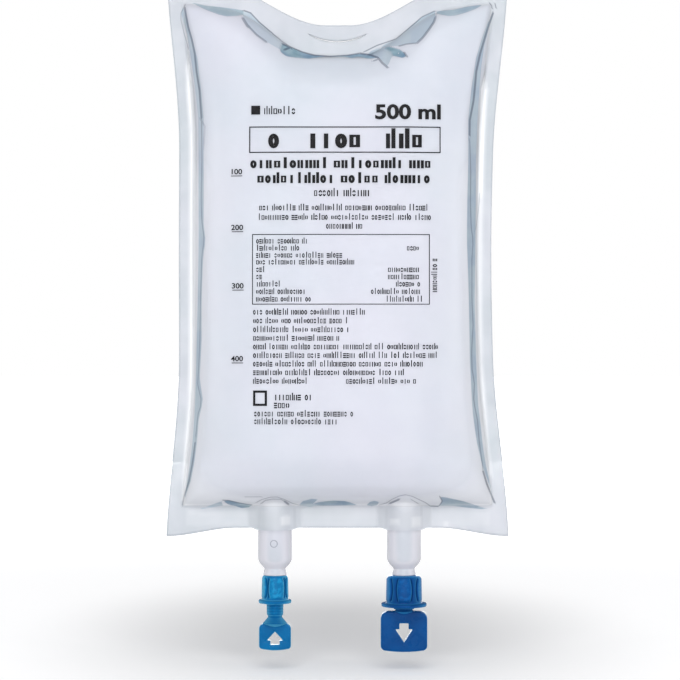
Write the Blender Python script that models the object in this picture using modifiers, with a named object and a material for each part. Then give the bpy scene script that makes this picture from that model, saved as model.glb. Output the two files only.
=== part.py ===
"""A 500 ml infusion bag that hangs from its slit, with an injection port and an infusion port.

The origin is the middle of the hanger slit. X runs to the right as the bag is read, -Y faces the
reader and Z points up. The bag is two clear sheets welded round their edges, filled with saline. Two
clear tubes are welded into the foot seam, and a break-off closure with a rubber septum seals each.
"""

import math

import bmesh
import bpy
from mathutils import Matrix, Vector

MM = 0.001

# Film and fits
FILM = 0.3 * MM  # thickness of one sheet
GAP = 0.3 * MM  # clearance between pieces that touch

# Outline of the welded sheets
END_WIDTH = 135.4 * MM  # across the shoulders and across the foot
WAIST_WIDTH = 124.0 * MM  # the filled chamber draws the sides in
SHOULDER_Z = 24.2 * MM
BAG_LENGTH = 217.4 * MM  # from the shoulders to the middle of the foot
FOOT_DROP = 3.3 * MM  # how far the foot's corners hang below its middle
FOOT_FLAT = 40.0 * MM  # half width of the level part of the foot
NOTCH_DEPTH = 18.0 * MM
NOTCH_FLAT = 5.0 * MM
NOTCH_REACH = 52.0 * MM

# Welded seams round the chamber
SIDE_SEAM = 5.5 * MM
HEAD_SEAM = 12.0 * MM
FOOT_SEAM = 8.6 * MM
DIP_FLAT = 8.0 * MM  # the chamber's head edge dips below the notch
DIP_REACH = 44.0 * MM
CORNER_RISE = 3.2 * MM  # the chamber's head edge rises again into each corner
CORNER_START = 36.0 * MM
CORNER_REACH = 64.0 * MM

# Swell of the filled chamber
THICKNESS = 35.0 * MM  # at the belly
SIDE_FULLNESS = 2.6  # exponent of the superellipse across the bag
HEAD_SLACK = 0.22  # share of the thickness that is lost at the head
HEAD_ROUND = 44.0 * MM  # height over which the head rounds off
FOOT_ROUND = 27.0 * MM

# Hanger slit, a shallow smile
SLIT_WIDTH = 23.0 * MM
SLIT_SAG = 3.0 * MM
SLIT_LOW = 0.3 * MM  # the slit's lowest point below the origin, which lies in the slit
SLIT_CUT = 0.9 * MM

# Port tubes
INJECTION_X = -24.8 * MM
INFUSION_X = 26.4 * MM
TUBE_OUTER = 13.6 * MM
TUBE_BORE = 10.8 * MM
TUBE_INSIDE = 4.0 * MM  # reach of a tube into the chamber
TUBE_BELOW = 13.2 * MM  # full-width stretch below the foot
TAPER_HEIGHT = 2.8 * MM
NECK_SHOWN = 2.8 * MM  # neck between taper and cap
NECK_OUTER = 8.4 * MM
NECK_BORE = 4.8 * MM
COLLAR_RIM = 0.5 * MM  # a low collar that the cap butts against
COLLAR_HEIGHT = 0.9 * MM
SPIGOT_OUTER = 7.4 * MM  # stretch of the neck inside the cap
SPIGOT_LENGTH = 6.0 * MM
SLEEVE_SPREAD = 5.0 * MM  # where the film leaves the seam to pass round a tube
SLEEVE_LIP = 0.5 * MM
SLEEVE_HEAD = 3.0 * MM  # sleeve above the tube's end

# Septa
SEPTUM_HEAD = 1.6 * MM
SEPTUM_PLUG = 2.6 * MM

# Injection closure, the narrower one
INJECTION_CAP_WALL = 1.05 * MM
INJECTION_CAP_HEIGHT = 9.7 * MM
INJECTION_FLANGE_RIM = 1.3 * MM
INJECTION_FLANGE_HEIGHT = 1.4 * MM
INJECTION_STEM = 7.0 * MM
INJECTION_STEM_HEIGHT = 5.3 * MM
INJECTION_PINCH = 4.9 * MM
INJECTION_CONE = 8.4 * MM
INJECTION_CONE_HEIGHT = 2.7 * MM
INJECTION_TAB_WIDTH = 12.7 * MM
INJECTION_TAB_HEIGHT = 10.3 * MM
INJECTION_TAB_THICKNESS = 3.0 * MM
INJECTION_TAB_SHOULDER = 2.2 * MM
INJECTION_ARROW_WIDTH = 6.4 * MM
INJECTION_ARROW_HEAD = 3.4 * MM
INJECTION_ARROW_SHAFT = 1.7 * MM
INJECTION_GRIPS = 4
INJECTION_GRIP_TURN = 3.0  # degrees from straight ahead to the nearest grip's middle

# Infusion closure, the broader one
INFUSION_CAP_WALL = 2.8 * MM
INFUSION_CAP_HEIGHT = 11.0 * MM
INFUSION_FLANGE_RIM = 2.4 * MM
INFUSION_FLANGE_HEIGHT = 1.4 * MM
INFUSION_STEM = 8.4 * MM
INFUSION_STEM_HEIGHT = 1.3 * MM
INFUSION_PINCH = 6.8 * MM
INFUSION_CONE = 7.4 * MM
INFUSION_CONE_HEIGHT = 0.5 * MM
INFUSION_TAB_WIDTH = 18.5 * MM
INFUSION_TAB_HEIGHT = 15.8 * MM
INFUSION_TAB_THICKNESS = 3.6 * MM
INFUSION_TAB_SHOULDER = 3.2 * MM
INFUSION_ARROW_WIDTH = 6.9 * MM
INFUSION_ARROW_HEAD = 5.2 * MM
INFUSION_ARROW_SHAFT = 2.3 * MM
INFUSION_GRIPS = 5
INFUSION_GRIP_TURN = 11.0

# Shared by both closures
CAP_DRAFT = 0.2 * MM  # the cap widens towards its flange, to leave the mould
CAP_ROUND = 0.5 * MM
GRIP_GROOVE = 1.1 * MM  # cutter width of the curved grooves that bound a grip
GRIP_DEPTH = 0.4 * MM
GRIP_BOW = 8.0  # degrees that a grip's sides bow outwards
GRIP_MARGIN = 1.5 * MM  # plain cap above and below a groove
TAB_CORNER = 1.4 * MM
TAB_BULGE = 0.5 * MM  # the tab's foot is a shallow curve
ARROW_SHAFT_WIDTH = 3.6 * MM
ARROW_DROP = 0.8 * MM  # the arrow's middle below the tab's

# Facets
COLUMNS = 24
ROWS = 24
ROUND_STEPS = 28
HALF_STEP = math.pi / ROUND_STEPS  # keeps the corners of turned pieces off the seam plane
ARC_STEPS = 8
SLIT_STEPS = 13  # odd, so that no corner of the slit meets the middle column of the sheet
SHARP = math.radians(35)
AHEAD = -90.0  # degrees about a port's axis, towards the reader
DOWN = 270.0  # degrees about an arc's centre
MERGE = 1e-5  # welds a mirrored half or a turned profile to itself

# Values worked out from the sizes above
FOOT_Z = SHOULDER_Z - BAG_LENGTH
TUBE_TOP = FOOT_Z + FOOT_SEAM + TUBE_INSIDE
CAP_TOP = FOOT_Z - TUBE_BELOW - TAPER_HEIGHT - NECK_SHOWN
NECK_END = CAP_TOP - SPIGOT_LENGTH
SEPTUM_TOP = NECK_END + SEPTUM_PLUG
SOCKET_FLOOR = NECK_END - GAP - SEPTUM_HEAD - GAP
SLEEVE_RADIUS = TUBE_OUTER / 2 + GAP + FILM

INJECTION = dict(
    name="injection", x=INJECTION_X, cap_wall=INJECTION_CAP_WALL, cap_height=INJECTION_CAP_HEIGHT,
    rim=INJECTION_FLANGE_RIM, flange_height=INJECTION_FLANGE_HEIGHT, stem=INJECTION_STEM / 2,
    stem_height=INJECTION_STEM_HEIGHT, pinch=INJECTION_PINCH / 2, cone=INJECTION_CONE / 2,
    cone_height=INJECTION_CONE_HEIGHT, tab_width=INJECTION_TAB_WIDTH, tab_height=INJECTION_TAB_HEIGHT,
    tab_thickness=INJECTION_TAB_THICKNESS, shoulder=INJECTION_TAB_SHOULDER,
    arrow_width=INJECTION_ARROW_WIDTH, arrow_head=INJECTION_ARROW_HEAD,
    arrow_shaft=INJECTION_ARROW_SHAFT, arrow_up=True, grips=INJECTION_GRIPS,
    grip_turn=INJECTION_GRIP_TURN, blue=(0.0, 0.20, 0.48),
)
INFUSION = dict(
    name="infusion", x=INFUSION_X, cap_wall=INFUSION_CAP_WALL, cap_height=INFUSION_CAP_HEIGHT,
    rim=INFUSION_FLANGE_RIM, flange_height=INFUSION_FLANGE_HEIGHT, stem=INFUSION_STEM / 2,
    stem_height=INFUSION_STEM_HEIGHT, pinch=INFUSION_PINCH / 2, cone=INFUSION_CONE / 2,
    cone_height=INFUSION_CONE_HEIGHT, tab_width=INFUSION_TAB_WIDTH, tab_height=INFUSION_TAB_HEIGHT,
    tab_thickness=INFUSION_TAB_THICKNESS, shoulder=INFUSION_TAB_SHOULDER,
    arrow_width=INFUSION_ARROW_WIDTH, arrow_head=INFUSION_ARROW_HEAD,
    arrow_shaft=INFUSION_ARROW_SHAFT, arrow_up=False, grips=INFUSION_GRIPS,
    grip_turn=INFUSION_GRIP_TURN, blue=(0.0, 0.10, 0.33),
)


def clear_scene():
    for item in list(bpy.data.objects):
        bpy.data.objects.remove(item, do_unlink=True)


def make_collection(name):
    group = bpy.data.collections.new(name)
    bpy.context.scene.collection.children.link(group)
    return group


def make_material(name, color, roughness, alpha=1.0):
    material = bpy.data.materials.new(name)
    material.use_nodes = True
    shader = material.node_tree.nodes["Principled BSDF"]
    shader.inputs["Base Color"].default_value = (*color, 1.0)
    shader.inputs["Roughness"].default_value = roughness
    shader.inputs["Metallic"].default_value = 0.0
    shader.inputs["Alpha"].default_value = alpha
    return material


def add_object(name, mesh, group, material=None):
    item = bpy.data.objects.new(name, mesh)
    group.objects.link(item)
    if material is not None:
        mesh.materials.clear()
        mesh.materials.append(material)
    return item


def as_cutter(item):
    item.hide_render = True
    item.display_type = "WIRE"
    return item


def combine(target, tool, operation):
    step = target.modifiers.new(f"{operation.lower()} {tool.name}", "BOOLEAN")
    step.operation = operation
    step.solver = "EXACT"
    step.object = tool


def finish_smooth(item):
    item.data.shade_smooth()
    item.data.set_sharp_from_angle(angle=SHARP)


def ease(start, stop, value):
    """Rises smoothly from 0 at start to 1 at stop."""
    share = min(max((value - start) / (stop - start), 0.0), 1.0)
    return share * share * (3.0 - 2.0 * share)


# The outline of the sheets and of the chamber between them


def sheet_half_width(z):
    middle = (SHOULDER_Z + FOOT_Z) / 2
    share = (z - middle) / (SHOULDER_Z - middle)
    return WAIST_WIDTH / 2 + (END_WIDTH - WAIST_WIDTH) / 2 * share * share


def sheet_head(x):
    return SHOULDER_Z - NOTCH_DEPTH * (1.0 - ease(NOTCH_FLAT, NOTCH_REACH, abs(x)))


def sheet_foot(x):
    return FOOT_Z - FOOT_DROP * ease(FOOT_FLAT, END_WIDTH / 2, abs(x))


def chamber_half_width(z, inset):
    return sheet_half_width(z) - SIDE_SEAM - inset


def chamber_head(x, inset):
    dip = NOTCH_DEPTH * (1.0 - ease(DIP_FLAT, DIP_REACH, abs(x)))
    return SHOULDER_Z - HEAD_SEAM - dip + CORNER_RISE * ease(CORNER_START, CORNER_REACH, abs(x)) - inset


def chamber_foot(inset):
    return FOOT_Z + FOOT_SEAM + inset


def round_off(distance, reach):
    """Quarter ellipse: 0 at an edge, 1 from reach onwards."""
    share = min(max(distance / reach, 0.0), 1.0)
    return math.sqrt(share * (2.0 - share))


def swell(x, z, inset):
    """Half thickness of the chamber, made smaller all round by inset."""
    across = min(abs(x) / chamber_half_width(z, inset), 1.0)
    side = (1.0 - across**SIDE_FULLNESS) ** (1.0 / SIDE_FULLNESS)
    head, foot = chamber_head(x, inset), chamber_foot(inset)
    height = min(max((z - foot) / (head - foot), 0.0), 1.0)
    slack = 1.0 - HEAD_SLACK * height * height
    ends = round_off(head - z, HEAD_ROUND) * round_off(z - foot, FOOT_ROUND)
    return (THICKNESS / 2 - inset) * side * ends * slack


def chamber_point(u, v, inset):
    """Place on the chamber of a grid point: u runs -1 to 1 across it, v 0 to 1 up it."""
    across, along = math.sin(u * math.pi / 2), (1.0 - math.cos(v * math.pi)) / 2
    x = across * WAIST_WIDTH / 2
    for _ in range(4):
        z = chamber_foot(inset) + (chamber_head(x, inset) - chamber_foot(inset)) * along
        x = across * chamber_half_width(z, inset)
    return x, z


def sheet_point(column, row, inset):
    """As chamber_point, with one more ring of points round it, on the sheet's edge."""
    u = min(max(2.0 * (column - 1) / COLUMNS - 1.0, -1.0), 1.0)
    v = min(max((row - 1) / ROWS, 0.0), 1.0)
    x, z = chamber_point(u, v, inset)
    if row == 0:
        z = sheet_foot(x)
    elif row == ROWS + 2:
        z = sheet_head(x)
    if column in (0, COLUMNS + 2):
        x = math.copysign(sheet_half_width(z), u)
        if row == 0:
            z = sheet_foot(x)
        elif row == ROWS + 2:
            z = sheet_head(x)
    return x, z


def split_corner(corner):
    """Runs a corner face's diagonal inwards, so that no triangle lies flat in the seam plane."""
    face = corner.link_faces[0]
    beside = [edge.other_vert(corner) for edge in corner.link_edges]
    inner = next(point for point in face.verts if point is not corner and point not in beside)
    bmesh.utils.face_split(face, corner, inner)


def pillow(name, group, place, columns, rows, lift):
    """A closed pillow: a grid laid out by place, raised by lift, and mirrored at the seam plane."""
    mesh = bpy.data.meshes.new(name)
    shape = bmesh.new()
    bmesh.ops.create_grid(shape, x_segments=columns, y_segments=rows, size=1.0)
    for point in shape.verts:
        column = round((point.co.x + 1.0) / 2.0 * columns)
        row = round((point.co.y + 1.0) / 2.0 * rows)
        x, z = place(column, row)
        point.co = Vector((x, -lift(x, z), z))
    for corner in [point for point in shape.verts if len(point.link_faces) == 1]:
        split_corner(corner)
    rim = [edge for edge in shape.edges if edge.is_boundary]
    if max(abs(point.co.y) for edge in rim for point in edge.verts) > MERGE:
        skirt = bmesh.ops.extrude_edge_only(shape, edges=rim)["geom"]
        for point in skirt:
            if isinstance(point, bmesh.types.BMVert):
                point.co.y = 0.0
    bmesh.ops.recalc_face_normals(shape, faces=shape.faces)
    front = max(shape.faces, key=lambda face: -face.calc_center_median().y)
    if front.normal.y > 0.0:
        bmesh.ops.reverse_faces(shape, faces=shape.faces)
    shape.to_mesh(mesh)
    shape.free()
    item = add_object(name, mesh, group)
    mirror = item.modifiers.new("back sheet", "MIRROR")
    mirror.use_axis = (False, True, False)
    mirror.use_clip = True
    mirror.merge_threshold = MERGE
    return item


# Tools and blanks


def turned(name, group, profile, x):
    """A turned piece about a vertical axis at x; the profile's (radius, z) points run down its outside."""
    mesh = bpy.data.meshes.new(name)
    shape = bmesh.new()
    points = [shape.verts.new((radius, 0.0, z)) for radius, z in profile]
    for start, stop in zip(points, points[1:]):
        shape.edges.new((start, stop))
    if profile[0][0] > 0.0:
        shape.edges.new((points[-1], points[0]))
    shape.to_mesh(mesh)
    shape.free()
    item = add_object(name, mesh, group)
    item.location = (x, 0.0, 0.0)
    item.rotation_euler = (0.0, 0.0, HALF_STEP)
    screw = item.modifiers.new("turn", "SCREW")
    screw.steps = ROUND_STEPS
    screw.render_steps = ROUND_STEPS
    screw.use_merge_vertices = True
    screw.merge_threshold = MERGE
    return item


def rod(name, group, radius, low, high, x):
    """A plain round rod between two heights."""
    return as_cutter(turned(name, group, [(0.0, high), (radius, high), (radius, low), (0.0, low)], x))


def curve_to_mesh(curve, name, group, matrix):
    """The curve's own shape as a closed mesh, moved by matrix."""
    blank = add_object(f"{name} outline", curve, group)
    bpy.context.view_layer.update()
    mesh = bpy.data.meshes.new_from_object(blank.evaluated_get(bpy.context.evaluated_depsgraph_get()))
    bpy.data.objects.remove(blank, do_unlink=True)
    shape = bmesh.new()
    shape.from_mesh(mesh)
    bmesh.ops.remove_doubles(shape, verts=shape.verts, dist=MERGE)
    shape.transform(matrix)
    shape.to_mesh(mesh)
    shape.free()
    return as_cutter(add_object(name, mesh, group))


def plate(name, group, outlines, thickness, matrix):
    """A flat plate cut to closed outlines; an outline inside another is a hole."""
    curve = bpy.data.curves.new(name, "CURVE")
    curve.dimensions = "2D"
    curve.fill_mode = "BOTH"
    curve.extrude = thickness / 2
    for outline in outlines:
        spline = curve.splines.new("POLY")
        spline.points.add(len(outline) - 1)
        for point, (across, up) in zip(spline.points, outline):
            point.co = (across, up, 0.0, 1.0)
        spline.use_cyclic_u = True
    return curve_to_mesh(curve, name, group, matrix)


def wire(name, group, path, radius):
    """A round wire along a path, with closed ends."""
    curve = bpy.data.curves.new(name, "CURVE")
    curve.dimensions = "3D"
    curve.bevel_depth = radius
    curve.bevel_resolution = 1
    curve.use_fill_caps = True
    spline = curve.splines.new("POLY")
    spline.points.add(len(path) - 1)
    for point, place in zip(spline.points, path):
        point.co = (*place, 1.0)
    return curve_to_mesh(curve, name, group, Matrix())


def arc(centre_x, centre_z, radius, start, stop, steps=ARC_STEPS):
    angles = [math.radians(start + (stop - start) * step / steps) for step in range(steps + 1)]
    return [(centre_x + radius * math.cos(a), centre_z + radius * math.sin(a)) for a in angles]


def tab_outline(port, low, high):
    """Outline of a tab: round shoulders, smaller foot corners and a gently curved foot."""
    half, shoulder = port["tab_width"] / 2, port["shoulder"]
    flat = half - TAB_CORNER
    foot = [(flat * share, low - TAB_BULGE * (1.0 - share * share)) for share in (-0.6, -0.2, 0.2, 0.6)]
    return (arc(half - shoulder, high - shoulder, shoulder, 0, 90, 5)
            + arc(shoulder - half, high - shoulder, shoulder, 90, 180, 5)
            + arc(-flat, low + TAB_CORNER, TAB_CORNER, 180, 270, 4) + foot
            + arc(flat, low + TAB_CORNER, TAB_CORNER, 270, 360, 4))


def arrow(port, middle):
    """Outline of a block arrow about a height, pointing the way the port's liquid goes."""
    head, shaft = port["arrow_head"], port["arrow_shaft"]
    half, wing, side = (head + shaft) / 2, port["arrow_width"] / 2, ARROW_SHAFT_WIDTH / 2
    points = [(0.0, half), (-wing, half - head), (-side, half - head), (-side, -half),
              (side, -half), (side, half - head), (wing, half - head)]
    facing = 1.0 if port["arrow_up"] else -1.0
    return [(x, middle + facing * z) for x, z in points]


UPRIGHT = Matrix.Rotation(math.pi / 2, 4, "X")  # lays a plate drawn in X and Y into X and Z


# The pouch


def slit_cutter(tools):
    """A thin shallow smile through the head seam, cut in one stroke with round ends."""
    half = SLIT_WIDTH / 2
    radius = (half * half + SLIT_SAG * SLIT_SAG) / (2.0 * SLIT_SAG)
    turn = math.degrees(math.asin(half / radius))
    centre = radius - SLIT_LOW
    upper = arc(0.0, centre, radius - SLIT_CUT / 2, DOWN + turn, DOWN - turn, SLIT_STEPS)
    lower = arc(0.0, centre, radius + SLIT_CUT / 2, DOWN - turn, DOWN + turn, SLIT_STEPS)
    return plate("slit", tools, [upper + lower], 8 * FILM, UPRIGHT)


def sleeve(port, tools):
    """The film where it leaves the seam plane and passes round a tube."""
    tip = SLEEVE_RADIUS + SLEEVE_SPREAD
    lean = math.degrees(math.acos(SLEEVE_RADIUS / tip))
    outline = ([(tip, 0.0)] + arc(0.0, 0.0, SLEEVE_RADIUS, lean, 180 - lean, 10)
               + [(-tip, 0.0)] + arc(0.0, 0.0, SLEEVE_RADIUS, 180 + lean, 360 - lean, 10))
    low, high = FOOT_Z - SLEEVE_LIP, TUBE_TOP + SLEEVE_HEAD
    place = Matrix.Translation((port["x"], 0.0, (low + high) / 2))
    return plate(f"{port['name']} sleeve", tools, [outline], high - low, place)


def build_film(parts, tools, material):
    film = pillow("bag_film", parts, lambda c, r: sheet_point(c, r, 0.0), COLUMNS + 2, ROWS + 2,
                  lambda x, z: swell(x, z, 0.0) + FILM)
    film.data.materials.append(material)
    cavity = pillow("chamber", tools, lambda c, r: chamber_point(2 * c / COLUMNS - 1, r / ROWS, FILM),
                    COLUMNS, ROWS, lambda x, z: swell(x, z, FILM))
    for port in (INJECTION, INFUSION):
        combine(film, sleeve(port, tools), "UNION")
    combine(film, as_cutter(cavity), "DIFFERENCE")
    for port in (INJECTION, INFUSION):
        hole = rod(f"{port['name']} hole", tools, TUBE_OUTER / 2 + GAP, FOOT_Z - TUBE_BELOW / 2,
                   TUBE_TOP + GAP, port["x"])
        combine(film, hole, "DIFFERENCE")
    combine(film, slit_cutter(tools), "DIFFERENCE")
    finish_smooth(film)


def build_fill(parts, tools, material):
    inset = FILM + GAP
    fill = pillow("saline_fill", parts,
                  lambda c, r: chamber_point(2 * c / COLUMNS - 1, r / ROWS, inset),
                  COLUMNS, ROWS, lambda x, z: swell(x, z, inset))
    fill.data.materials.append(material)
    for port in (INJECTION, INFUSION):
        column = rod(f"{port['name']} column", tools, TUBE_OUTER / 2, SEPTUM_TOP, TUBE_TOP, port["x"])
        combine(fill, column, "UNION")
        combine(fill, tube_room(port, tools), "DIFFERENCE")
    finish_smooth(fill)


def tube_room(port, tools):
    """A cup: the space that a tube, its septum and their clearance take from the liquid."""
    room, bore, neck = TUBE_OUTER / 2 + GAP, TUBE_BORE / 2 - GAP, NECK_BORE / 2 - GAP
    taper = FOOT_Z - TUBE_BELOW
    return as_cutter(turned(f"{port['name']} room", tools, [
        (0.0, SEPTUM_TOP + GAP), (neck, SEPTUM_TOP + GAP), (neck, taper - TAPER_HEIGHT + GAP),
        (bore, taper + GAP), (bore, TUBE_TOP + GAP), (room, TUBE_TOP + GAP),
        (room, SEPTUM_TOP - GAP), (0.0, SEPTUM_TOP - GAP),
    ], port["x"]))


# The ports


def build_tube(port, parts, material):
    """A clear tube: full width through the seam, then a taper to the neck that the cap takes."""
    outer, bore = TUBE_OUTER / 2, TUBE_BORE / 2
    neck, neck_bore, spigot = NECK_OUTER / 2, NECK_BORE / 2, SPIGOT_OUTER / 2
    taper = FOOT_Z - TUBE_BELOW
    collar, collar_foot = neck + COLLAR_RIM, CAP_TOP + GAP
    tube = turned(f"{port['name']}_port_tube", parts, [
        (bore, TUBE_TOP), (outer, TUBE_TOP), (outer, taper), (neck, taper - TAPER_HEIGHT),
        (neck, collar_foot + COLLAR_HEIGHT), (collar, collar_foot + COLLAR_HEIGHT * 0.8),
        (collar, collar_foot), (spigot, collar_foot), (spigot, NECK_END), (neck_bore, NECK_END),
        (neck_bore, taper - TAPER_HEIGHT), (bore, taper),
    ], port["x"])
    tube.data.materials.append(material)
    finish_smooth(tube)


def build_septum(port, parts, material):
    """A rubber plug: its head closes the neck's end, its stud sits in the neck's bore."""
    head, stud = SPIGOT_OUTER / 2, NECK_BORE / 2 - GAP
    septum = turned(f"{port['name']}_septum", parts, [
        (0.0, SEPTUM_TOP), (stud, SEPTUM_TOP), (stud, NECK_END - GAP), (head, NECK_END - GAP),
        (head, NECK_END - GAP - SEPTUM_HEAD), (0.0, NECK_END - GAP - SEPTUM_HEAD),
    ], port["x"])
    septum.data.materials.append(material)
    finish_smooth(septum)


def closure_levels(port):
    """Heights of a closure's steps, from its cap down to the foot of its tab."""
    cap_foot = min(CAP_TOP - port["cap_height"], SOCKET_FLOOR)
    flange_foot = cap_foot - port["flange_height"]
    stem_foot = flange_foot - port["stem_height"]
    tab_top = stem_foot - port["cone_height"]
    return cap_foot, flange_foot, stem_foot, tab_top, tab_top - port["tab_height"]


def build_closure(port, parts, tools, material):
    """Cap, flange, stem and tab, moulded in one; the pinch is where the tab snaps off."""
    socket = SPIGOT_OUTER / 2 + GAP
    cap = socket + port["cap_wall"]
    base, rim = cap + CAP_DRAFT, cap + CAP_DRAFT + port["rim"]
    stem, thickness = port["stem"], port["tab_thickness"]
    cap_foot, flange_foot, stem_foot, tab_top, tab_foot = closure_levels(port)
    rounding = min(CAP_ROUND, port["cap_wall"] * 0.6)
    flange_middle, bevel = (cap_foot + flange_foot) / 2, port["flange_height"] * 0.35
    closure = turned(f"{port['name']}_closure", parts, [
        (0.0, SOCKET_FLOOR), (socket, SOCKET_FLOOR), (socket, CAP_TOP), (cap - rounding, CAP_TOP),
        (cap - rounding * 0.3, CAP_TOP - rounding * 0.3), (cap, CAP_TOP - rounding), (base, cap_foot),
        (rim - bevel, cap_foot), (rim, flange_middle), (rim - bevel, flange_foot), (stem, flange_foot),
        (stem * 0.9, stem_foot + port["stem_height"] * 0.25), (port["pinch"], stem_foot),
        (port["cone"], tab_top), (thickness / 3, tab_top - thickness / 2), (0.0, tab_top - thickness / 2),
    ], port["x"])
    closure.data.materials.append(material)
    tab = plate(f"{port['name']} tab", tools, [
        tab_outline(port, tab_foot, tab_top), arrow(port, (tab_top + tab_foot) / 2 - ARROW_DROP),
    ], thickness, Matrix.Translation((port["x"], 0.0, 0.0)) @ UPRIGHT)
    combine(closure, tab, "UNION")
    for groove in grip_grooves(port, tools, cap, base, cap_foot):
        combine(closure, groove, "DIFFERENCE")
    finish_smooth(closure)


def grip_grooves(port, tools, cap, base, cap_foot):
    """Two curved grooves bound each leaf-shaped grip, evenly round the cap."""
    high, low = CAP_TOP - GRIP_MARGIN, cap_foot + GRIP_MARGIN
    spread = 180.0 / port["grips"] - math.degrees(GRIP_GROOVE / cap)
    for grip in range(port["grips"]):
        middle = port["grip_turn"] + AHEAD + grip * 360.0 / port["grips"]
        for side in (-1.0, 1.0):
            path = []
            for step in range(ARC_STEPS + 1):
                share = 2.0 * step / ARC_STEPS - 1.0
                angle = math.radians(middle + side * (spread - GRIP_BOW * share * share))
                surface = (cap + base) / 2 + (cap - base) / 2 * share
                radius = surface + GRIP_GROOVE / 2 - GRIP_DEPTH
                path.append((port["x"] + radius * math.cos(angle), radius * math.sin(angle),
                             (high + low) / 2 + (high - low) / 2 * share))
            yield wire(f"{port['name']} groove {grip + 1}", tools, path, GRIP_GROOVE / 2)


def build_bag():
    clear_scene()
    parts = make_collection("infusion bag")
    tools = make_collection("cutters")
    build_film(parts, tools, make_material("clear film", (0.78, 0.80, 0.86), 0.2, 0.6))
    build_fill(parts, tools, make_material("saline", (0.80, 0.83, 0.90), 0.1, 0.5))
    clear_tube = make_material("clear tube", (0.80, 0.82, 0.85), 0.2, 0.6)
    rubber = make_material("septum rubber", (0.45, 0.43, 0.40), 0.7)
    for port in (INJECTION, INFUSION):
        build_tube(port, parts, clear_tube)
        build_septum(port, parts, rubber)
        build_closure(port, parts, tools, make_material(f"{port['name']} blue", port["blue"], 0.35))


build_bag()
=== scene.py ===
import math

import bmesh
import bpy
import numpy as np
from mathutils import Matrix, Vector


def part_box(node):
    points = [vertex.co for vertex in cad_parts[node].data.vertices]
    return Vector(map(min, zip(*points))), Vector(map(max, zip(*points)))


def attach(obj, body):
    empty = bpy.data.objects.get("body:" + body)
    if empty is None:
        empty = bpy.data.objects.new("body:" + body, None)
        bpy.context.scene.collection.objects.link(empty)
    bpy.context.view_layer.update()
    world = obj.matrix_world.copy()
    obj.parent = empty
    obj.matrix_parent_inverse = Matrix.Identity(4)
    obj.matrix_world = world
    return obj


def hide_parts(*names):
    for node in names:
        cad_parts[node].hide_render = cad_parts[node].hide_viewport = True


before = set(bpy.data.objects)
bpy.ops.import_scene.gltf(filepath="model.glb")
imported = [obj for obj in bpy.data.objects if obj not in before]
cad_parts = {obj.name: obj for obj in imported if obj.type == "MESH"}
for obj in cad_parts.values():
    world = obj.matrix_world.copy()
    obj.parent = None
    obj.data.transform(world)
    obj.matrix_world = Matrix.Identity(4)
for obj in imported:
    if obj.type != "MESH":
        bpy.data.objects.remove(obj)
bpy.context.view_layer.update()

MM = 0.001

# The camera, in metres, level with the middle of the photograph
PHOTO_MIDDLE = (1.0 * MM, -118.7 * MM)
CAMERA_DISTANCE = 1.0
PHOTO_SPAN = 270.0 * MM  # width of the photograph at the bag
FLOOR_Z = -250.0 * MM

# Sizes of the pouch, in millimetres
FILM = 0.3
END_WIDTH = 135.4
WAIST_WIDTH = 124.0
END_FLARE, FLARE_SPAN = 0.65, (0.37, 1.02)  # how much of the widening comes late, and where
WAIST_SWAY, SWAY_SPAN = 0.95, (0.0, -84.0, -180.0)  # the waist hangs to the left, most at the middle height
SHOULDER = 24.2
FOOT = -193.2
FOOT_DROP, FOOT_FLAT = 3.3, 40.0
NOTCH_DEPTH, NOTCH_FLAT, NOTCH_REACH = 18.0, 5.0, 52.0
SIDE_SEAM, HEAD_SEAM, FOOT_SEAM = 5.5, 12.0, 8.6
DIP_FLAT, DIP_REACH = 8.0, 44.0
CORNER_RISE, CORNER_START, CORNER_REACH = 3.2, 36.0, 64.0
THICKNESS = 35.0
SIDE_FULLNESS = 2.6
HEAD_SLACK = 0.22
HEAD_ROUND, FOOT_ROUND = 44.0, 21.0
SLIT_WIDTH, SLIT_SAG, SLIT_CUT, SLIT_REACH = 23.0, 3.0, 0.28, 16.0
SLIT_LEVEL = 0.1  # the slit's middle hangs this share of its sag below the origin
SLEEVE_SPREAD = 3.6
SLEEVE_FADE = (-1.0, 4.0)  # a sleeve dies away between these heights over its tube's top
SKIRT_DROP, SKIRT_REACH = 0.7, 2.6  # the weld hangs lower beside a tube
FACE_DEPTH = 16.5  # the printed face in front of the seam
INK_LIFT = 0.14  # print stands this far off the film

# Ports, read from the frame
TUBE_LOW, TUBE_HIGH = (np.array(corner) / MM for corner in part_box("injection_port_tube"))
TUBE_RADIUS = (TUBE_HIGH[0] - TUBE_LOW[0]) / 2
TUBE_TOP, NECK_END = TUBE_HIGH[2], TUBE_LOW[2]
PORT_X = {
    side: sum(corner[0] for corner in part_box(f"{side}_port_tube")) / 2 / MM
    for side in ("injection", "infusion")
}


# The pouch's outline and fullness


def ease(start, stop, value):
    """Rises smoothly from 0 to 1 while the value goes from start to stop."""
    share = np.clip((value - start) / (stop - start), 0.0, 1.0)
    return share * share * (3.0 - 2.0 * share)


def half_width(z):
    """Half the sheet's width: nearly even along the waist, then quickly wider toward each end."""
    middle = (SHOULDER + FOOT) / 2
    share = np.abs(z - middle) / (SHOULDER - middle)
    widening = share * share + END_FLARE * (ease(*FLARE_SPAN, share) - share * share)
    return WAIST_WIDTH / 2 + (END_WIDTH - WAIST_WIDTH) / 2 * widening


def sway(z):
    """How far to the side the sheets hang at each height."""
    top, middle, foot = SWAY_SPAN
    return -WAIST_SWAY * ease(top, middle, z) * ease(foot, middle, z)


def sheet_head(x):
    return SHOULDER - NOTCH_DEPTH * (1.0 - ease(NOTCH_FLAT, NOTCH_REACH, np.abs(x)))


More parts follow.
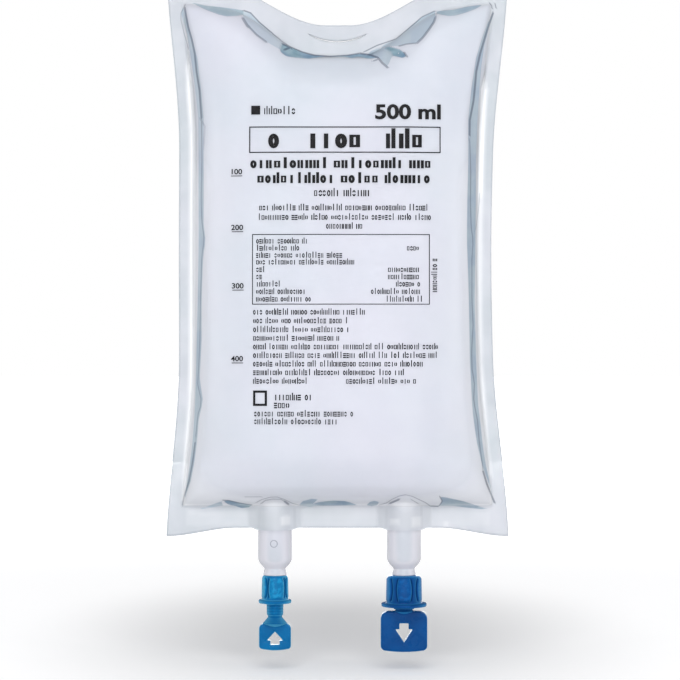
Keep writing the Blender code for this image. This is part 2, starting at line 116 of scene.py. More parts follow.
def sheet_foot(x):
    return FOOT - FOOT_DROP * ease(FOOT_FLAT, END_WIDTH / 2, np.abs(x))


def chamber_head(x):
    dip = NOTCH_DEPTH * (1.0 - ease(DIP_FLAT, DIP_REACH, np.abs(x)))
    return SHOULDER - HEAD_SEAM - dip + CORNER_RISE * ease(CORNER_START, CORNER_REACH, np.abs(x))


CHAMBER_FOOT = FOOT + FOOT_SEAM


def weld_foot(x):
    """The sheet's foot, with the skirts of weld beside the tubes."""
    drop = np.zeros_like(x)
    for middle in PORT_X.values():
        drop = np.maximum(drop, 1.0 - ease(TUBE_RADIUS, TUBE_RADIUS + SKIRT_REACH, np.abs(x - middle)))
    return sheet_foot(x) - SKIRT_DROP * drop


def round_off(distance, reach):
    """A quarter round: 0 at the edge, 1 from the reach on."""
    share = np.clip(distance / reach, 0.0, 1.0)
    return np.sqrt(share * (2.0 - share))


def pillow(x, z):
    """Half thickness of the filled chamber, without its creases."""
    across = np.minimum(np.abs(x) / (half_width(z) - SIDE_SEAM), 1.0)
    side = (1.0 - across**SIDE_FULLNESS) ** (1.0 / SIDE_FULLNESS)
    head = chamber_head(x)
    height = np.clip((z - CHAMBER_FOOT) / (head - CHAMBER_FOOT), 0.0, 1.0)
    slack = 1.0 - HEAD_SLACK * height * height
    ends = round_off(head - z, HEAD_ROUND) * round_off(z - CHAMBER_FOOT, FOOT_ROUND)
    return THICKNESS / 2 * side * slack * ends


def sleeve(x, z):
    """Height of the film above the seam plane where it passes round a tube."""
    height = np.zeros_like(x)
    fade = 1.0 - ease(TUBE_TOP + SLEEVE_FADE[0], TUBE_TOP + SLEEVE_FADE[1], z)
    radius = TUBE_RADIUS + FILM
    tip = radius + SLEEVE_SPREAD
    lean = math.acos(radius / tip)
    for middle in PORT_X.values():
        aside = np.abs(x - middle)
        arch = np.sqrt(np.maximum(radius**2 - aside**2, 0.0))
        slope = (tip - aside) / math.tan(lean)
        bump = np.where(aside < radius * math.cos(lean), arch, np.clip(slope, 0.0, None))
        height = np.maximum(height, bump * fade)
    return height


# Where the filled film folds

PHOTO_SIZE = 680
PIXEL = PHOTO_SPAN / MM / PHOTO_SIZE  # millimetres at the bag's seam to one pixel of the photograph


def bag_place(px, py, depth=0.0):
    """The point behind a pixel of the photograph, on a plane so many millimetres in front of the seam."""
    across, up = (place / MM for place in PHOTO_MIDDLE)
    scale = PIXEL * (1.0 - depth * MM / CAMERA_DISTANCE)
    return across + (px - PHOTO_SIZE / 2) * scale, up + (PHOTO_SIZE / 2 - py) * scale


def face_place(px, py):
    """The point of the bag's face behind a pixel."""
    return bag_place(px, py, FACE_DEPTH)


# Each tuck is (depth of tone, outline in photograph pixels): a facet where the sheet folds in, painted with
# shade to that depth of tone, which also sets how far it sinks
TUCKS = [
    (0.72, [(189, 1.5), (205, 5.5), (221, 7), (236, 9), (244, 10.5), (244, 15.5), (235.5, 17.5),
            (227, 18), (219, 16), (207, 11.2), (198, 6.6)]),
    (0.38, [(244, 11), (251, 13), (259, 22), (273, 34), (284, 44), (281, 52), (267, 44), (257, 37),
            (248, 28), (243, 19)]),
    (1.0, [(280, 47), (283, 44), (291, 47.5), (302, 52), (312, 55), (330, 56.5), (317, 58.6),
            (309, 60), (297, 59.5), (287, 58.5), (281, 54)]),
    (1.0, [(326, 56), (347, 55.2), (360, 53.4), (366, 54), (374, 57), (378, 60), (368, 60), (358, 58),
            (352, 59.4), (344, 57.8), (330, 57.4)]),
    (0.55, [(366, 53), (382, 48), (391, 53), (392, 58), (387, 69.5), (379, 60)]),
    (1.0, [(382, 47.6), (388, 47.8), (399, 51), (404, 55.5), (406.5, 59), (402, 60.5), (393, 58),
            (390, 53)]),
    (0.54, [(372, 50), (382, 45.5), (396, 39), (410, 27), (422, 17), (435, 11), (435.5, 18),
            (433.5, 24), (428, 32), (422, 40), (416, 45.5), (406, 46), (399, 47.8), (388, 47)]),
    (0.74, [(436, 11.2), (453, 10.5), (467, 7), (484, 4.6), (475, 10), (465, 14), (455, 17),
            (448, 17.6), (441, 16), (436.5, 14.6)]),
    (0.52, [(183, 6), (186, 12), (190, 29), (194, 43), (198.5, 60), (202, 88), (205, 120), (205, 160),
            (205, 225), (207, 241), (204.5, 258), (203, 300), (203, 340), (201, 378), (204.5, 400),
            (200, 420), (198.5, 440), (196, 460), (192, 480), (183, 505), (186.5, 488), (190.5, 465),
            (193.5, 440), (195.5, 410), (196.5, 380), (198.5, 300), (199.5, 240), (199.2, 160),
            (199, 120), (195.5, 88), (191.5, 60), (187, 35), (181, 14)]),
    (0.62, [(494.5, 12), (488, 30), (484, 46), (481, 66), (479, 88), (477, 120), (475.5, 160),
            (475.5, 200), (475, 240), (474, 300), (475.5, 360), (477.5, 405), (480, 425), (482, 445),
            (485.5, 466), (495, 503), (488, 484), (480.5, 463), (475, 440), (471, 410), (468.5, 360),
            (467.5, 300), (465.5, 240), (466, 200), (467, 160), (467, 120), (470.5, 88), (475, 60),
            (481, 40), (487, 24)]),
    (0.50, [(191.5, 511), (207, 506), (222, 500), (224, 505.5), (207, 508.5)]),
    (0.86, [(223, 499.5), (230, 499), (240, 501.5), (253, 504), (249, 507.5), (241.5, 508.3),
            (235, 506), (229, 504)]),
    (0.66, [(299, 504), (303, 499.5), (312, 497), (318.5, 497.8), (313.5, 502.5), (317, 505),
            (311, 507), (303, 506)]),
    (0.85, [(313.5, 502.5), (320, 500.5), (333.5, 499), (345, 499.5), (350, 501), (359, 504.8),
            (335, 505.4), (314, 505.6)]),
    (0.70, [(366, 504.5), (369.5, 500.5), (374, 499), (379, 500.5), (377.5, 504.5), (371.5, 506.4)]),
    (0.72, [(439, 495), (446, 496), (462.5, 500), (476.5, 505), (488.5, 508.5), (481.5, 509.4),
            (468, 508), (453, 506), (438.5, 505.6), (441.5, 500)]),
]

# Each gleam is (strength, outline in photograph pixels): a strip painted with a highlight where the sheet
# turns to the light
GLEAMS = [
    (1.0, [(188, 56), (191, 66), (194.5, 90), (197, 130), (197.8, 220), (197.5, 300), (196, 400), (192, 440),
           (187, 480), (184, 500), (182, 500), (183, 480), (184.8, 440), (188.3, 400), (189.2, 300),
           (189.4, 130), (186.3, 90), (186, 70)]),
    (0.3, [(186, 508), (206, 511.5), (225, 510), (257, 509.5), (257, 518), (225, 518), (200, 517),
           (188, 515)]),
    (0.28, [(297, 508), (330, 507.2), (362, 507), (384, 508), (384, 519), (340, 519.5), (297, 519)]),
    (0.22, [(424, 508), (452, 508.5), (470, 511), (488, 511.5), (488, 516), (468, 517.5), (424, 518)]),
    (0.2, [(186, 508), (206, 511.5), (251, 509), (340, 507), (430, 508), (490, 511.5), (490, 526),
           (186, 526)]),
    (0.8, [(280.5, 515), (287, 513.5), (291, 515), (291, 524), (281, 524.5)]),
    (0.7, [(410.7, 516), (416, 514.5), (422, 516), (422, 525.5), (411, 526)]),
    (0.6, [(388.5, 517), (400, 516.5), (400, 523.5), (389, 524)]),
    (0.6, [(443, 521.5), (446.5, 520.5), (449.5, 522), (448, 526.5), (443.5, 526.5)]),
    (0.3, [(396, 505), (398, 500), (404, 497.5), (411, 500), (414.5, 505), (412, 510.5), (405, 512.8),
           (398.5, 510)]),
    (0.2, [(266, 504), (270, 500.5), (276, 500), (281, 502.5), (283, 508), (279, 512), (270, 512)]),
    (1.0, [(484, 72), (487.5, 90), (485.5, 130), (484.5, 160), (483.5, 196), (476.5, 196), (476.8, 160),
            (477.2, 130), (479.5, 90)]),
    (0.85, [(476, 190), (483.5, 190), (482, 300), (482.5, 360), (486, 400), (488, 440), (492, 478),
            (488, 474), (481.5, 440), (478, 400), (475.8, 360), (474.8, 300)]),
]

# Each crease is (half width in millimetres, darkness, line in photograph pixels): a line of painted shade
# where the sheet creases, which also sinks it
CREASES = [
    (0.30, 1.0, [(185, 8), (186, 14), (188.7, 28), (192.5, 41), (195.5, 55), (197.5, 74), (200.5, 92),
                 (202.5, 120)]),
    (0.18, 0.5, [(202.5, 120), (203, 160), (202.2, 200), (203, 222), (205.5, 241), (203, 256),
                 (201.7, 300), (201, 340), (200, 362), (198.7, 385), (202, 397), (202.8, 403), (199, 414),
                 (198, 425), (196.5, 440)]),
    (0.26, 0.75, [(196.5, 440), (194, 460), (190, 480), (184.5, 496), (182.5, 505)]),
    (0.16, 0.5, [(185.5, 5), (181, 13), (181, 20), (184, 33), (189, 50)]),
    (0.22, 0.95, [(243.5, 10.5), (250.7, 13), (259, 22), (273, 34), (284, 43.5), (291, 47.5)]),
    (0.26, 0.95, [(291, 47.5), (302, 52), (315, 55.5), (330, 56.8), (347, 55.6), (360, 53.4)]),
    (0.42, 1.0, [(243.2, 19.5), (248, 27.5), (250, 29)]),
    (0.30, 1.0, [(250, 29), (257, 36.5), (267, 44)]),
    (0.38, 1.0, [(283, 45), (291, 47.8), (285, 51)]),
    (0.20, 0.85, [(364, 52), (377, 45.5), (396.5, 39), (410.5, 27), (422, 17), (435, 11)]),
    (0.34, 1.0, [(360, 53.5), (368, 54.8), (377.5, 59), (382, 65), (387, 69.7)]),
    (0.26, 0.9, [(373, 62.5), (378, 61)]),
    (0.36, 1.0, [(435.3, 17.7), (433.5, 23.6), (428, 32), (422, 40), (416.4, 45.4)]),
    (0.24, 0.9, [(416.4, 45.4), (406, 46), (399, 47.8)]),
    (0.32, 0.9, [(404, 55), (406.3, 59)]),
    (0.32, 1.0, [(493, 13), (488.4, 26), (484, 40), (479.5, 55), (475.4, 73), (474.2, 87), (472.5, 103),
                 (468.7, 122), (468.5, 138)]),
    (0.20, 0.65, [(468.5, 138), (469.7, 172), (469.5, 205), (470.2, 228), (472.3, 241), (471, 260),
                  (471, 300), (472.2, 325), (470.5, 352), (471, 370), (473.5, 382), (472.5, 400),
                  (476.5, 420), (478, 440), (481, 462), (482, 470)]),
    (0.32, 0.95, [(482, 470), (486, 483), (494.5, 502.5)]),
    (0.20, 0.75, [(489.5, 3.5), (491.5, 6), (492, 8.5)]),
    (0.20, 0.75, [(495, 4), (496, 8)]),
    (0.18, 0.75, [(223.5, 499), (229.5, 499.3), (240, 502), (247, 503.5), (252.5, 504)]),
    (0.16, 0.65, [(256.7, 501.5), (262.7, 498), (271, 495.6), (278, 495.4), (285, 498), (293.3, 502.6),
                  (300.5, 504.6)]),
    (0.20, 0.65, [(261.5, 502.7), (266, 499), (273.3, 497.6), (281.5, 497.8), (285, 500)]),
    (0.38, 0.95, [(285, 500), (288.6, 503)]),
    (0.16, 0.6, [(246, 495.4), (262.6, 495.2)]),
    (0.18, 0.7, [(378.6, 504.3), (386, 502), (391.6, 497.8), (398.7, 494.3), (404.6, 493), (411.7, 494.8),
                 (417.6, 497.8), (424.7, 501.4), (429.4, 505)]),
    (0.34, 1.0, [(389.3, 502.5), (398.7, 497.8)]),
    (0.16, 0.6, [(410.5, 498), (417.6, 502.5)]),
    (0.22, 0.85, [(430, 505.8), (438.5, 506.2), (441.5, 500), (439, 495.2)]),
    (0.14, 0.45, [(480, 192), (478.5, 210), (475, 230)]),
    (0.16, 0.7, [(308.6, 34.3), (316, 37.9), (326, 40.8), (337.5, 41.8), (349, 40.8), (359, 37.9),
                 (366.4, 34.3)]),
    (0.45, 0.05, [(260, 509), (259, 527)]),
    (0.45, 0.12, [(294.5, 508), (295, 527)]),
    (0.45, 0.08, [(386.5, 509), (385.5, 527)]),
    (0.45, 0.14, [(421, 506), (421.5, 527)]),
    (0.30, 0.35, [(201, 120), (206, 128), (205, 150)]),
]


FAR = 1e6  # farther than any fold
CREASE_ROOM = 3.4  # millimetres between creases that share a group
CREASE_LIMIT = 9.0  # a crease's distance is kept up to so many of its half widths
TUCK_DIP, CREASE_DIP, DIP_EDGE = 0.9, 0.5, (-0.2, 1.6)  # how far a fold sinks the sheet, in millimetres
TONE_BLEND, BLEND_SPAN = 4.0, (-5.0, 0.6)  # how sharply one tuck's tone gives way to the next one's
# Over these distances a gleam sets in, and a crease ends, pales to its sides and sinks the sheet
GLEAM_EDGE, CREASE_END, CREASE_FADE, CREASE_SIDE = (-0.7, 0.9), (-0.6, 1.1), (1.0, 1.7), (0.0, 1.4)


def segment_place(x, z, ax, az, bx, bz):
    """Distance to a segment, the side of it, and how far along it the nearest point is."""
    run, rise = bx - ax, bz - az
    along = ((x - ax) * run + (z - az) * rise) / (run * run + rise * rise)
    held = np.clip(along, 0.0, 1.0)
    away = np.hypot(x - ax - held * run, z - az - held * rise)
    return away, np.sign(run * (z - az) - rise * (x - ax)), along * math.hypot(run, rise)


def outline_distance(x, z, outline):
    """Signed distance from points to a closed outline, positive inside it."""
    nearest = np.full(x.shape, FAR)
    inside = np.zeros(x.shape, dtype=bool)
    for (ax, az), (bx, bz) in zip(outline, outline[1:] + outline[:1]):
        nearest = np.minimum(nearest, segment_place(x, z, ax, az, bx, bz)[0])
        if az != bz:
            crossing = (az > z) != (bz > z)
            inside ^= crossing & (x < (bx - ax) * (z - az) / (bz - az) + ax)
    return np.where(inside, nearest, -nearest)


def line_place(x, z, line):
    """Signed distance from points to a line, and how far past its ends they are."""
    nearest, side, past = np.full(x.shape, FAR), np.ones(x.shape), np.zeros(x.shape)
    last = len(line) - 2
    for count, ((ax, az), (bx, bz)) in enumerate(zip(line, line[1:])):
        away, hand, along = segment_place(x, z, ax, az, bx, bz)
        over = np.zeros(x.shape)
        if count == 0:
            over = np.maximum(over, -along)
        if count == last:
            over = np.maximum(over, along - math.hypot(bx - ax, bz - az))
        closer = away < nearest
        nearest = np.where(closer, away, nearest)
        side = np.where(closer, hand, side)
        past = np.where(closer, over, past)
    return nearest * side, past


def group_creases():
    """Shares the creases out so that those of one group never come near each other."""
    groups = []
    for half, tone, pixels in CREASES:
        line = [bag_place(*pixel) for pixel in pixels]
        spots = np.concatenate([
            np.linspace(start, stop, 2 + int(math.dist(start, stop)))
            for start, stop in zip(line, line[1:])
        ])
        for group in groups:
            if all(np.abs(line_place(*spots.T, other)[0]).min() > CREASE_ROOM for _, _, other in group):
                group.append((half, tone, line))
                break
        else:
            groups.append([(half, tone, line)])
    return groups


CREASE_GROUPS = group_creases()


class Folds:
    """How one sheet is tucked, lit and creased, measured at each of its points in millimetres."""

    def __init__(self, x, z, side):
        self.x, self.z = x * side + sway(z), z  # the back sheet's folds mirror the front's
        tucks = [(tone, self.inside(outline)) for tone, outline in TUCKS]
        weights = [np.exp(TONE_BLEND * np.clip(inside, *BLEND_SPAN)) for _, inside in tucks]
        self.tuck = np.maximum.reduce([inside for _, inside in tucks])
        self.tone = sum(tone * weight for (tone, _), weight in zip(tucks, weights)) / sum(weights)
        self.dip = TUCK_DIP * self.tone * ease(*DIP_EDGE, self.tuck)
        self.gleam = np.zeros(x.shape)
        for tone, outline in GLEAMS:
            self.gleam = np.maximum(self.gleam, tone * ease(*GLEAM_EDGE, self.inside(outline)))
        self.creases = [self.crease(group) for group in CREASE_GROUPS]

    def inside(self, outline):
        return outline_distance(self.x, self.z, [bag_place(*spot) for spot in outline])

    def crease(self, group):
        """The nearest crease of a group: how many half widths away it is, and how dark there."""
        shape = self.x.shape
        ratio, strength, closest = np.full(shape, CREASE_LIMIT), np.zeros(shape), np.full(shape, FAR)
        for half, tone, line in group:
            away, past = line_place(self.x, self.z, line)
            reach = np.abs(away)
            held = tone * (1.0 - ease(*CREASE_END, past))
            near = reach < closest
            closest = np.where(near, reach, closest)
            ratio = np.where(near, np.clip(away / half, -CREASE_LIMIT, CREASE_LIMIT), ratio)
            strength = np.where(near, held * (1.0 - ease(*CREASE_FADE, reach)), strength)
            self.dip = np.maximum(self.dip, CREASE_DIP * held * (1.0 - ease(*CREASE_SIDE, reach)))
        return np.stack([ratio, strength, np.zeros(shape)], axis=-1)


RIPPLE = 0.07
RIPPLE_WAVES = [(0.030, 0.011, 0.4), (0.017, -0.024, 2.1), (-0.041, 0.013, 4.0)]  # across, up and start
CALM_REACH, FOLD_REACH = 9.0, (0.2, 2.5)  # the half thicknesses over which ripples and folds set in

# A highlight is painted where the liquid is thin, below the head, for the light that passes there
THIN_SHARE, THIN_REACH, THIN_GLEAM, THIN_HEAD = 0.6, 1.5, 0.7, (-60.0, -20.0)


def ripple(x, z, side):
    """Slow unevenness of a full pouch."""
    return sum(RIPPLE * np.sin(2 * math.pi * (side * kx * x + kz * z) + phase)
               for kx, kz, phase in RIPPLE_WAVES)


def lift(x, z, side):
    """Height of a sheet's inner face above the seam plane, with its folds."""
    base = pillow(x, z)
    folds = Folds(x, z, side)
    thin = ease(0.0, THIN_SHARE, 1.0 - 2 * base / THICKNESS) * ease(0.0, THIN_REACH, base)
    folds.gleam = np.maximum(folds.gleam, THIN_GLEAM * thin * (1.0 - ease(*THIN_HEAD, z)))
    shaped = base - folds.dip * ease(*FOLD_REACH, base) + ease(0.0, CALM_REACH, base) * ripple(x, z, side)
    return np.maximum(shaped, sleeve(x, z)), folds


# The grid that both sheets share

CHAMBER_HALF = WAIST_WIDTH / 2 - SIDE_SEAM
CHAMBER_HEIGHT = SHOULDER - HEAD_SEAM - NOTCH_DEPTH - CHAMBER_FOOT
SLIT_LOW, SLIT_HIGH = 0.42, 0.5  # the rows of the head seam that the slit lies between
SETTLE_ROUNDS = 5  # rounds in which width and height find each other


def spread(*spans):
    """Stations along a line: each span is (start, stop, step)."""
    stations = []
    for start, stop, step in spans:
        count = max(1, round((stop - start) / step))
        stations.extend(start + (stop - start) * np.arange(count) / count)
    return np.array(stations + [spans[-1][1]])


def grid_places(columns, rows, inset=0.0):
    """Places of a grid, before the waist's sway.

    Columns are millimetres across at the waist. Rows run 0-1 foot seam, 1-2 chamber, 2-3 head seam.
    """
    across, up = np.meshgrid(columns, rows)
    in_chamber = np.clip(across / CHAMBER_HALF, -1.0, 1.0)
    in_seam = (np.abs(across) - CHAMBER_HALF) / SIDE_SEAM
    x = across.copy()
    for _ in range(SETTLE_ROUNDS):
        rim = weld_foot(x)
        foot_part = rim + (CHAMBER_FOOT - rim) * np.clip(up, 0.0, 1.0)
        chamber = (chamber_head(x) - inset - CHAMBER_FOOT - inset) * np.clip(up - 1.0, 0.0, 1.0) + inset
        z = foot_part + chamber
        z = np.where(up > 2.0, head_seam_height(x, up - 2.0), z)
        room = half_width(z) - SIDE_SEAM - inset
        x = in_chamber * room + np.sign(across) * np.clip(in_seam, 0.0, 1.0) * SIDE_SEAM
    return x, z


def slit_line(x):
    """The slit's middle line, and half of its gap."""
    within = np.clip(np.abs(x) / (SLIT_WIDTH / 2), 0.0, 1.0)
    return SLIT_SAG * (within**2 - SLIT_LEVEL), SLIT_CUT / 2 * np.sqrt(1.0 - within**2)


def head_seam_height(x, share):
    """Height of the head seam's rows, which part round the slit."""
    low, high = chamber_head(x), sheet_head(x)
    middle, half = slit_line(x)
    near = 1.0 - ease(SLIT_WIDTH / 2, SLIT_WIDTH / 2 + SLIT_REACH, np.abs(x))
    plain_low, plain_high = low + (high - low) * SLIT_LOW, low + (high - low) * SLIT_HIGH
    slit_low = plain_low + (middle - half - plain_low) * near
    slit_high = plain_high + (middle + half - plain_high) * near
    below = low + (slit_low - low) * np.clip(share / SLIT_LOW, 0.0, 1.0)
    inside = (slit_high - slit_low) * np.clip((share - SLIT_LOW) / (SLIT_HIGH - SLIT_LOW), 0.0, 1.0)
    above = (high - slit_high) * np.clip((share - SLIT_HIGH) / (1.0 - SLIT_HIGH), 0.0, 1.0)
    return below + inside + above


# Meshes, objects and pieces


def set_mesh(name, points, faces):
    mesh = bpy.data.meshes.new(name)
    mesh.from_pydata([tuple(point) for point in points], [], faces)
    mesh.update()
    return mesh


def link(name, data):
    item = bpy.data.objects.new(name, data)
    bpy.context.scene.collection.objects.link(item)
    return item


def add_piece(name, mesh, finish, replaces=()):
    piece = link(name, mesh)
    mesh.materials.clear()
    mesh.materials.append(finish)
    mesh.shade_smooth()
    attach(piece, "root")
    for node in replaces:
        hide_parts(node)
    return piece


def store(mesh, name, values):
    """Keeps a number or a vector at each point of a mesh, for its material."""
    values = np.asarray(values, dtype=np.float32)
    kind, field = ("FLOAT_VECTOR", "vector") if values.ndim == 2 else ("FLOAT", "value")
    mesh.attributes.new(name, kind, "POINT").data.foreach_set(field, values.ravel())


# The pouch: its film and its liquid

# Steps of the film's grid: close where it folds, wide over the even face
EDGE_BAND, FACE_STEP, EDGE_STEP, SEAM_STEP = 44.0, 0.62, 0.5, 0.8
CHAMBER_SPANS = [(0.0, 15.0, 0.45), (15.0, 132.0, 2.6), (132.0, CHAMBER_HEIGHT, 0.5)]
FOOT_SEAM_STEP, HEAD_SEAM_STEPS = 0.09, (0.09, 0.08)
MARK_LIMIT = 5.0  # a fold is measured to this distance
SEAM_RISE = 1.2  # the seam's look ends where the chamber is this high
TUBE_ROOM, OPEN_RISE = 3.0, 0.05  # the film has no rim over a tube, and is open where it rises at the foot

# The liquid lies this far inside the film's seam and sheets
FILL_INSET, FILL_GAP, FILL_LEAST, FILL_MERGE = 0.7, 0.35, 0.05, 0.01
FILL_BAND, FILL_EDGE_STEP, FILL_FACE_STEP = 42.0, 0.8, 2.0
FILL_SPANS = [(0.0, 18.0, 0.9), (18.0, 135.0, 3.0), (135.0, CHAMBER_HEIGHT, 1.0)]


def film_columns():
    half = spread((0.0, EDGE_BAND, FACE_STEP), (EDGE_BAND, CHAMBER_HALF, EDGE_STEP),
                  (CHAMBER_HALF, WAIST_WIDTH / 2, SEAM_STEP))
    return np.concatenate([-half[:0:-1], half])


def film_rows():
    """Rows of the foot seam, the chamber and the head seam, with one at each edge of the slit."""
    below, above = HEAD_SEAM_STEPS
    return np.concatenate([
        spread((0.0, 1.0, FOOT_SEAM_STEP))[:-1], 1.0 + spread(*CHAMBER_SPANS)[:-1] / CHAMBER_HEIGHT,
        2.0 + spread((0.0, SLIT_LOW, below)), 2.0 + spread((SLIT_HIGH, 1.0, above)),
    ])


def sheet_points(x, z, depth):
    """Points of one sheet in metres, with the waist's sway."""
    return list(np.stack([x + sway(z), depth, z], axis=-1).reshape(-1, 3) * MM)


def grid_faces(grid, outward, left_out=None):
    """Faces between the points of a grid, turned about where they would look inward."""
    grid, faces = grid.tolist(), []
    for row in range(len(grid) - 1):
        for column in range(len(grid[0]) - 1):
            if left_out is None or not left_out[row, column]:
                corners = (grid[row][column], grid[row][column + 1], grid[row + 1][column + 1],
                           grid[row + 1][column])
                faces.append(corners if outward else corners[::-1])
    return faces


def strip_faces(first, second, way=1, kept=None):
    """Faces between two lines of points, where both ends of a step are kept."""
    first, second = first.tolist(), second.tolist()
    return [(first[i], first[i + 1], second[i + 1], second[i])[::way] for i in range(len(first) - 1)
            if kept is None or (kept[i] and kept[i + 1])]


def build_film(finish):
    """Both sheets as one skin: front and back, closed at the rim, open at the tubes and the slit."""
    rows = film_rows()
    x, z = grid_places(film_columns(), rows)
    over_tube = sleeve(x, z) > OPEN_RISE
    slit_row = int(np.argmin(np.abs(rows - 2.0 - SLIT_LOW)))
    in_slit = np.abs(x[slit_row]) < SLIT_WIDTH / 2
    cut = np.zeros(x.shape, dtype=bool)
    cut[slit_row, :-1] = in_slit[:-1] & in_slit[1:]

    points, sheets, folded = [], [], []
    for way in (-1.0, 1.0):
        height, folds = lift(x, z, -way)
        sheets.append(len(points) + np.arange(x.size).reshape(x.shape))
        points.extend(sheet_points(x, z, way * (FILM + height)))
        folded.append(folds)
    front, back = sheets
    faces = grid_faces(front, True, cut) + grid_faces(back, False, cut)
    faces += strip_faces(front[0], back[0], -1, ~over_tube[0]) + strip_faces(front[-1], back[-1])
    faces += strip_faces(front[:, 0], back[:, 0]) + strip_faces(front[:, -1], back[:, -1], -1)
    faces += strip_faces(front[slit_row], back[slit_row], 1, in_slit)
    faces += strip_faces(front[slit_row + 1], back[slit_row + 1], -1, in_slit)
    mesh = set_mesh("pouch_film", points, faces)

    for mark in ("tuck", "tone", "gleam"):
        values = np.concatenate([getattr(folds, mark).ravel() for folds in folded])
        store(mesh, mark, np.clip(values, -MARK_LIMIT, MARK_LIMIT))
    store(mesh, "seam", np.tile((1.0 - ease(0.0, SEAM_RISE, pillow(x, z))).ravel(), 2))
    ends = np.minimum(sheet_head(x) - z, z - weld_foot(x) + TUBE_ROOM * over_tube)
    store(mesh, "rim", np.tile(np.minimum(half_width(z) - np.abs(x), ends).ravel(), 2))
    for count in range(len(CREASE_GROUPS)):
        values = np.concatenate([folds.creases[count].reshape(-1, 3) for folds in folded])
        store(mesh, f"crease {count}", values)
    return add_piece("pouch_film", mesh, finish, ["bag_film"])


def build_fill(finish):
    """The liquid, a little inside the film and with the same folds."""
    columns = spread((-CHAMBER_HALF, -FILL_BAND, FILL_EDGE_STEP), (-FILL_BAND, FILL_BAND, FILL_FACE_STEP),
                     (FILL_BAND, CHAMBER_HALF, FILL_EDGE_STEP))
    x, z = grid_places(columns, 1.0 + spread(*FILL_SPANS) / CHAMBER_HEIGHT, FILL_INSET)
    edge = np.ones(x.shape, dtype=bool)
    edge[1:-1, 1:-1] = False
    points, faces = [], []
    for way in (-1.0, 1.0):
        height, _ = lift(x, z, -way)
        height = np.where(edge, 0.0, np.maximum(height - FILL_GAP, FILL_LEAST))
        faces += grid_faces(len(points) + np.arange(x.size).reshape(x.shape), way < 0)
        points.extend(sheet_points(x, z, way * height))
    mesh = set_mesh("saline_body", points, faces)
    shape = bmesh.new()
    shape.from_mesh(mesh)
    bmesh.ops.remove_doubles(shape, verts=shape.verts, dist=FILL_MERGE * MM)
    shape.to_mesh(mesh)
    shape.free()
    return add_piece("saline_body", mesh, finish, ["saline_fill"])


# Finishes


class Signal:
    """A shader socket that takes part in Python arithmetic."""

    def __init__(self, owner, socket):
        self.owner = owner
        self.socket = socket

    def math(self, operation, *values):
        return self.owner.node("ShaderNodeMath", {"operation": operation}, dict(enumerate(values)))

    def __add__(self, other):
        return self.math("ADD", self, other)

    def __sub__(self, other):
        return self.math("SUBTRACT", self, other)

    def __rsub__(self, other):
        return self.math("SUBTRACT", other, self)

    def __mul__(self, other):
        return self.math("MULTIPLY", self, other)

    def __abs__(self):
        return self.math("ABSOLUTE", self)

    __radd__ = __add__
    __rmul__ = __mul__

    def most(self, other):
        return self.math("MAXIMUM", self, other)

    def ramp(self, low, high, start=0.0, stop=1.0):
        """Eases from start to stop while the signal goes from low to high."""
        return self.owner.node("ShaderNodeMapRange", {"interpolation_type": "SMOOTHSTEP"},
                               {0: self, 1: low, 2: high, 3: start, 4: stop})


class NodeTree:
    """A tree of nodes that grows by one method."""

    def __init__(self, tree):
        self.tree = tree

    def node(self, kind, settings=None, inputs=None, output=0):
        """Adds a node: its settings first, then the values or links of its sockets."""
        made = self.tree.nodes.new(kind)
        for name, value in (settings or {}).items():
            setattr(made, name, value)
        for socket, value in (inputs or {}).items():
            self.plug(made.inputs[socket], value)
        return Signal(self, made.outputs[output] if made.outputs else None)

    def plug(self, socket, value):
        if isinstance(value, Signal):
            self.tree.links.new(value.socket, socket)
        else:
            socket.default_value = value

    def mix(self, factor, first, second):
        return self.node("ShaderNodeMix", {"data_type": "RGBA"}, {0: factor, 6: first, 7: second}, 2)

    def place(self):
        return self.node("ShaderNodeTexCoord", None, None, "Object")

    def mark(self, name, output="Fac"):
        return self.node("ShaderNodeAttribute", {"attribute_name": name}, None, output)

    def tint(self, factor, pair):
        """A colour between the two of a pair."""
        return self.mix(factor, *(linear(*colour) for colour in pair))

    def noise(self, scale, detail=2.0):
        return self.node("ShaderNodeTexNoise", None,
                         {"Vector": self.place(), "Scale": scale, "Detail": detail})

    def bump(self, height, distance, strength):
        return self.node("ShaderNodeBump", None,
                         {"Height": height, "Distance": distance, "Strength": strength})

    def facing(self):
        """0 where the surface faces the eye, 1 where it is seen edge on."""
        return self.node("ShaderNodeLayerWeight", None, {"Blend": 0.5}, "Facing")

    def part(self, vector, axis):
        return self.node("ShaderNodeSeparateXYZ", None, {0: vector}, axis)

    def background_rays(self):
        """1 for rays that show the background: to the camera, by a mirror or through glass."""
        rays = [self.node("ShaderNodeLightPath", None, None, name)
                for name in ("Is Camera Ray", "Is Glossy Ray", "Is Transmission Ray")]
        return rays[0].most(rays[1]).most(rays[2])


class Finish(NodeTree):
    """A material about one Principled shader, whose constants are set on its own sockets."""

    def __init__(self, name, **constants):
        self.material = bpy.data.materials.new(name)
        self.material.use_nodes = True
        super().__init__(self.material.node_tree)
        self.shader = self.tree.nodes["Principled BSDF"]
        for socket, value in constants.items():
            self.shader.inputs[socket.replace("_", " ")].default_value = value

    def drive(self, **signals):
        for socket, signal in signals.items():
            self.plug(self.shader.inputs[socket.replace("_", " ")], signal)
        return self.material


def linear(red, green, blue):
    """A colour given as 0-255 display values."""
    def one(value):
        share = value / 255.0
        return share / 12.92 if share <= 0.04045 else ((share + 0.055) / 1.055) ** 2.4
    return (one(red), one(green), one(blue), 1.0)


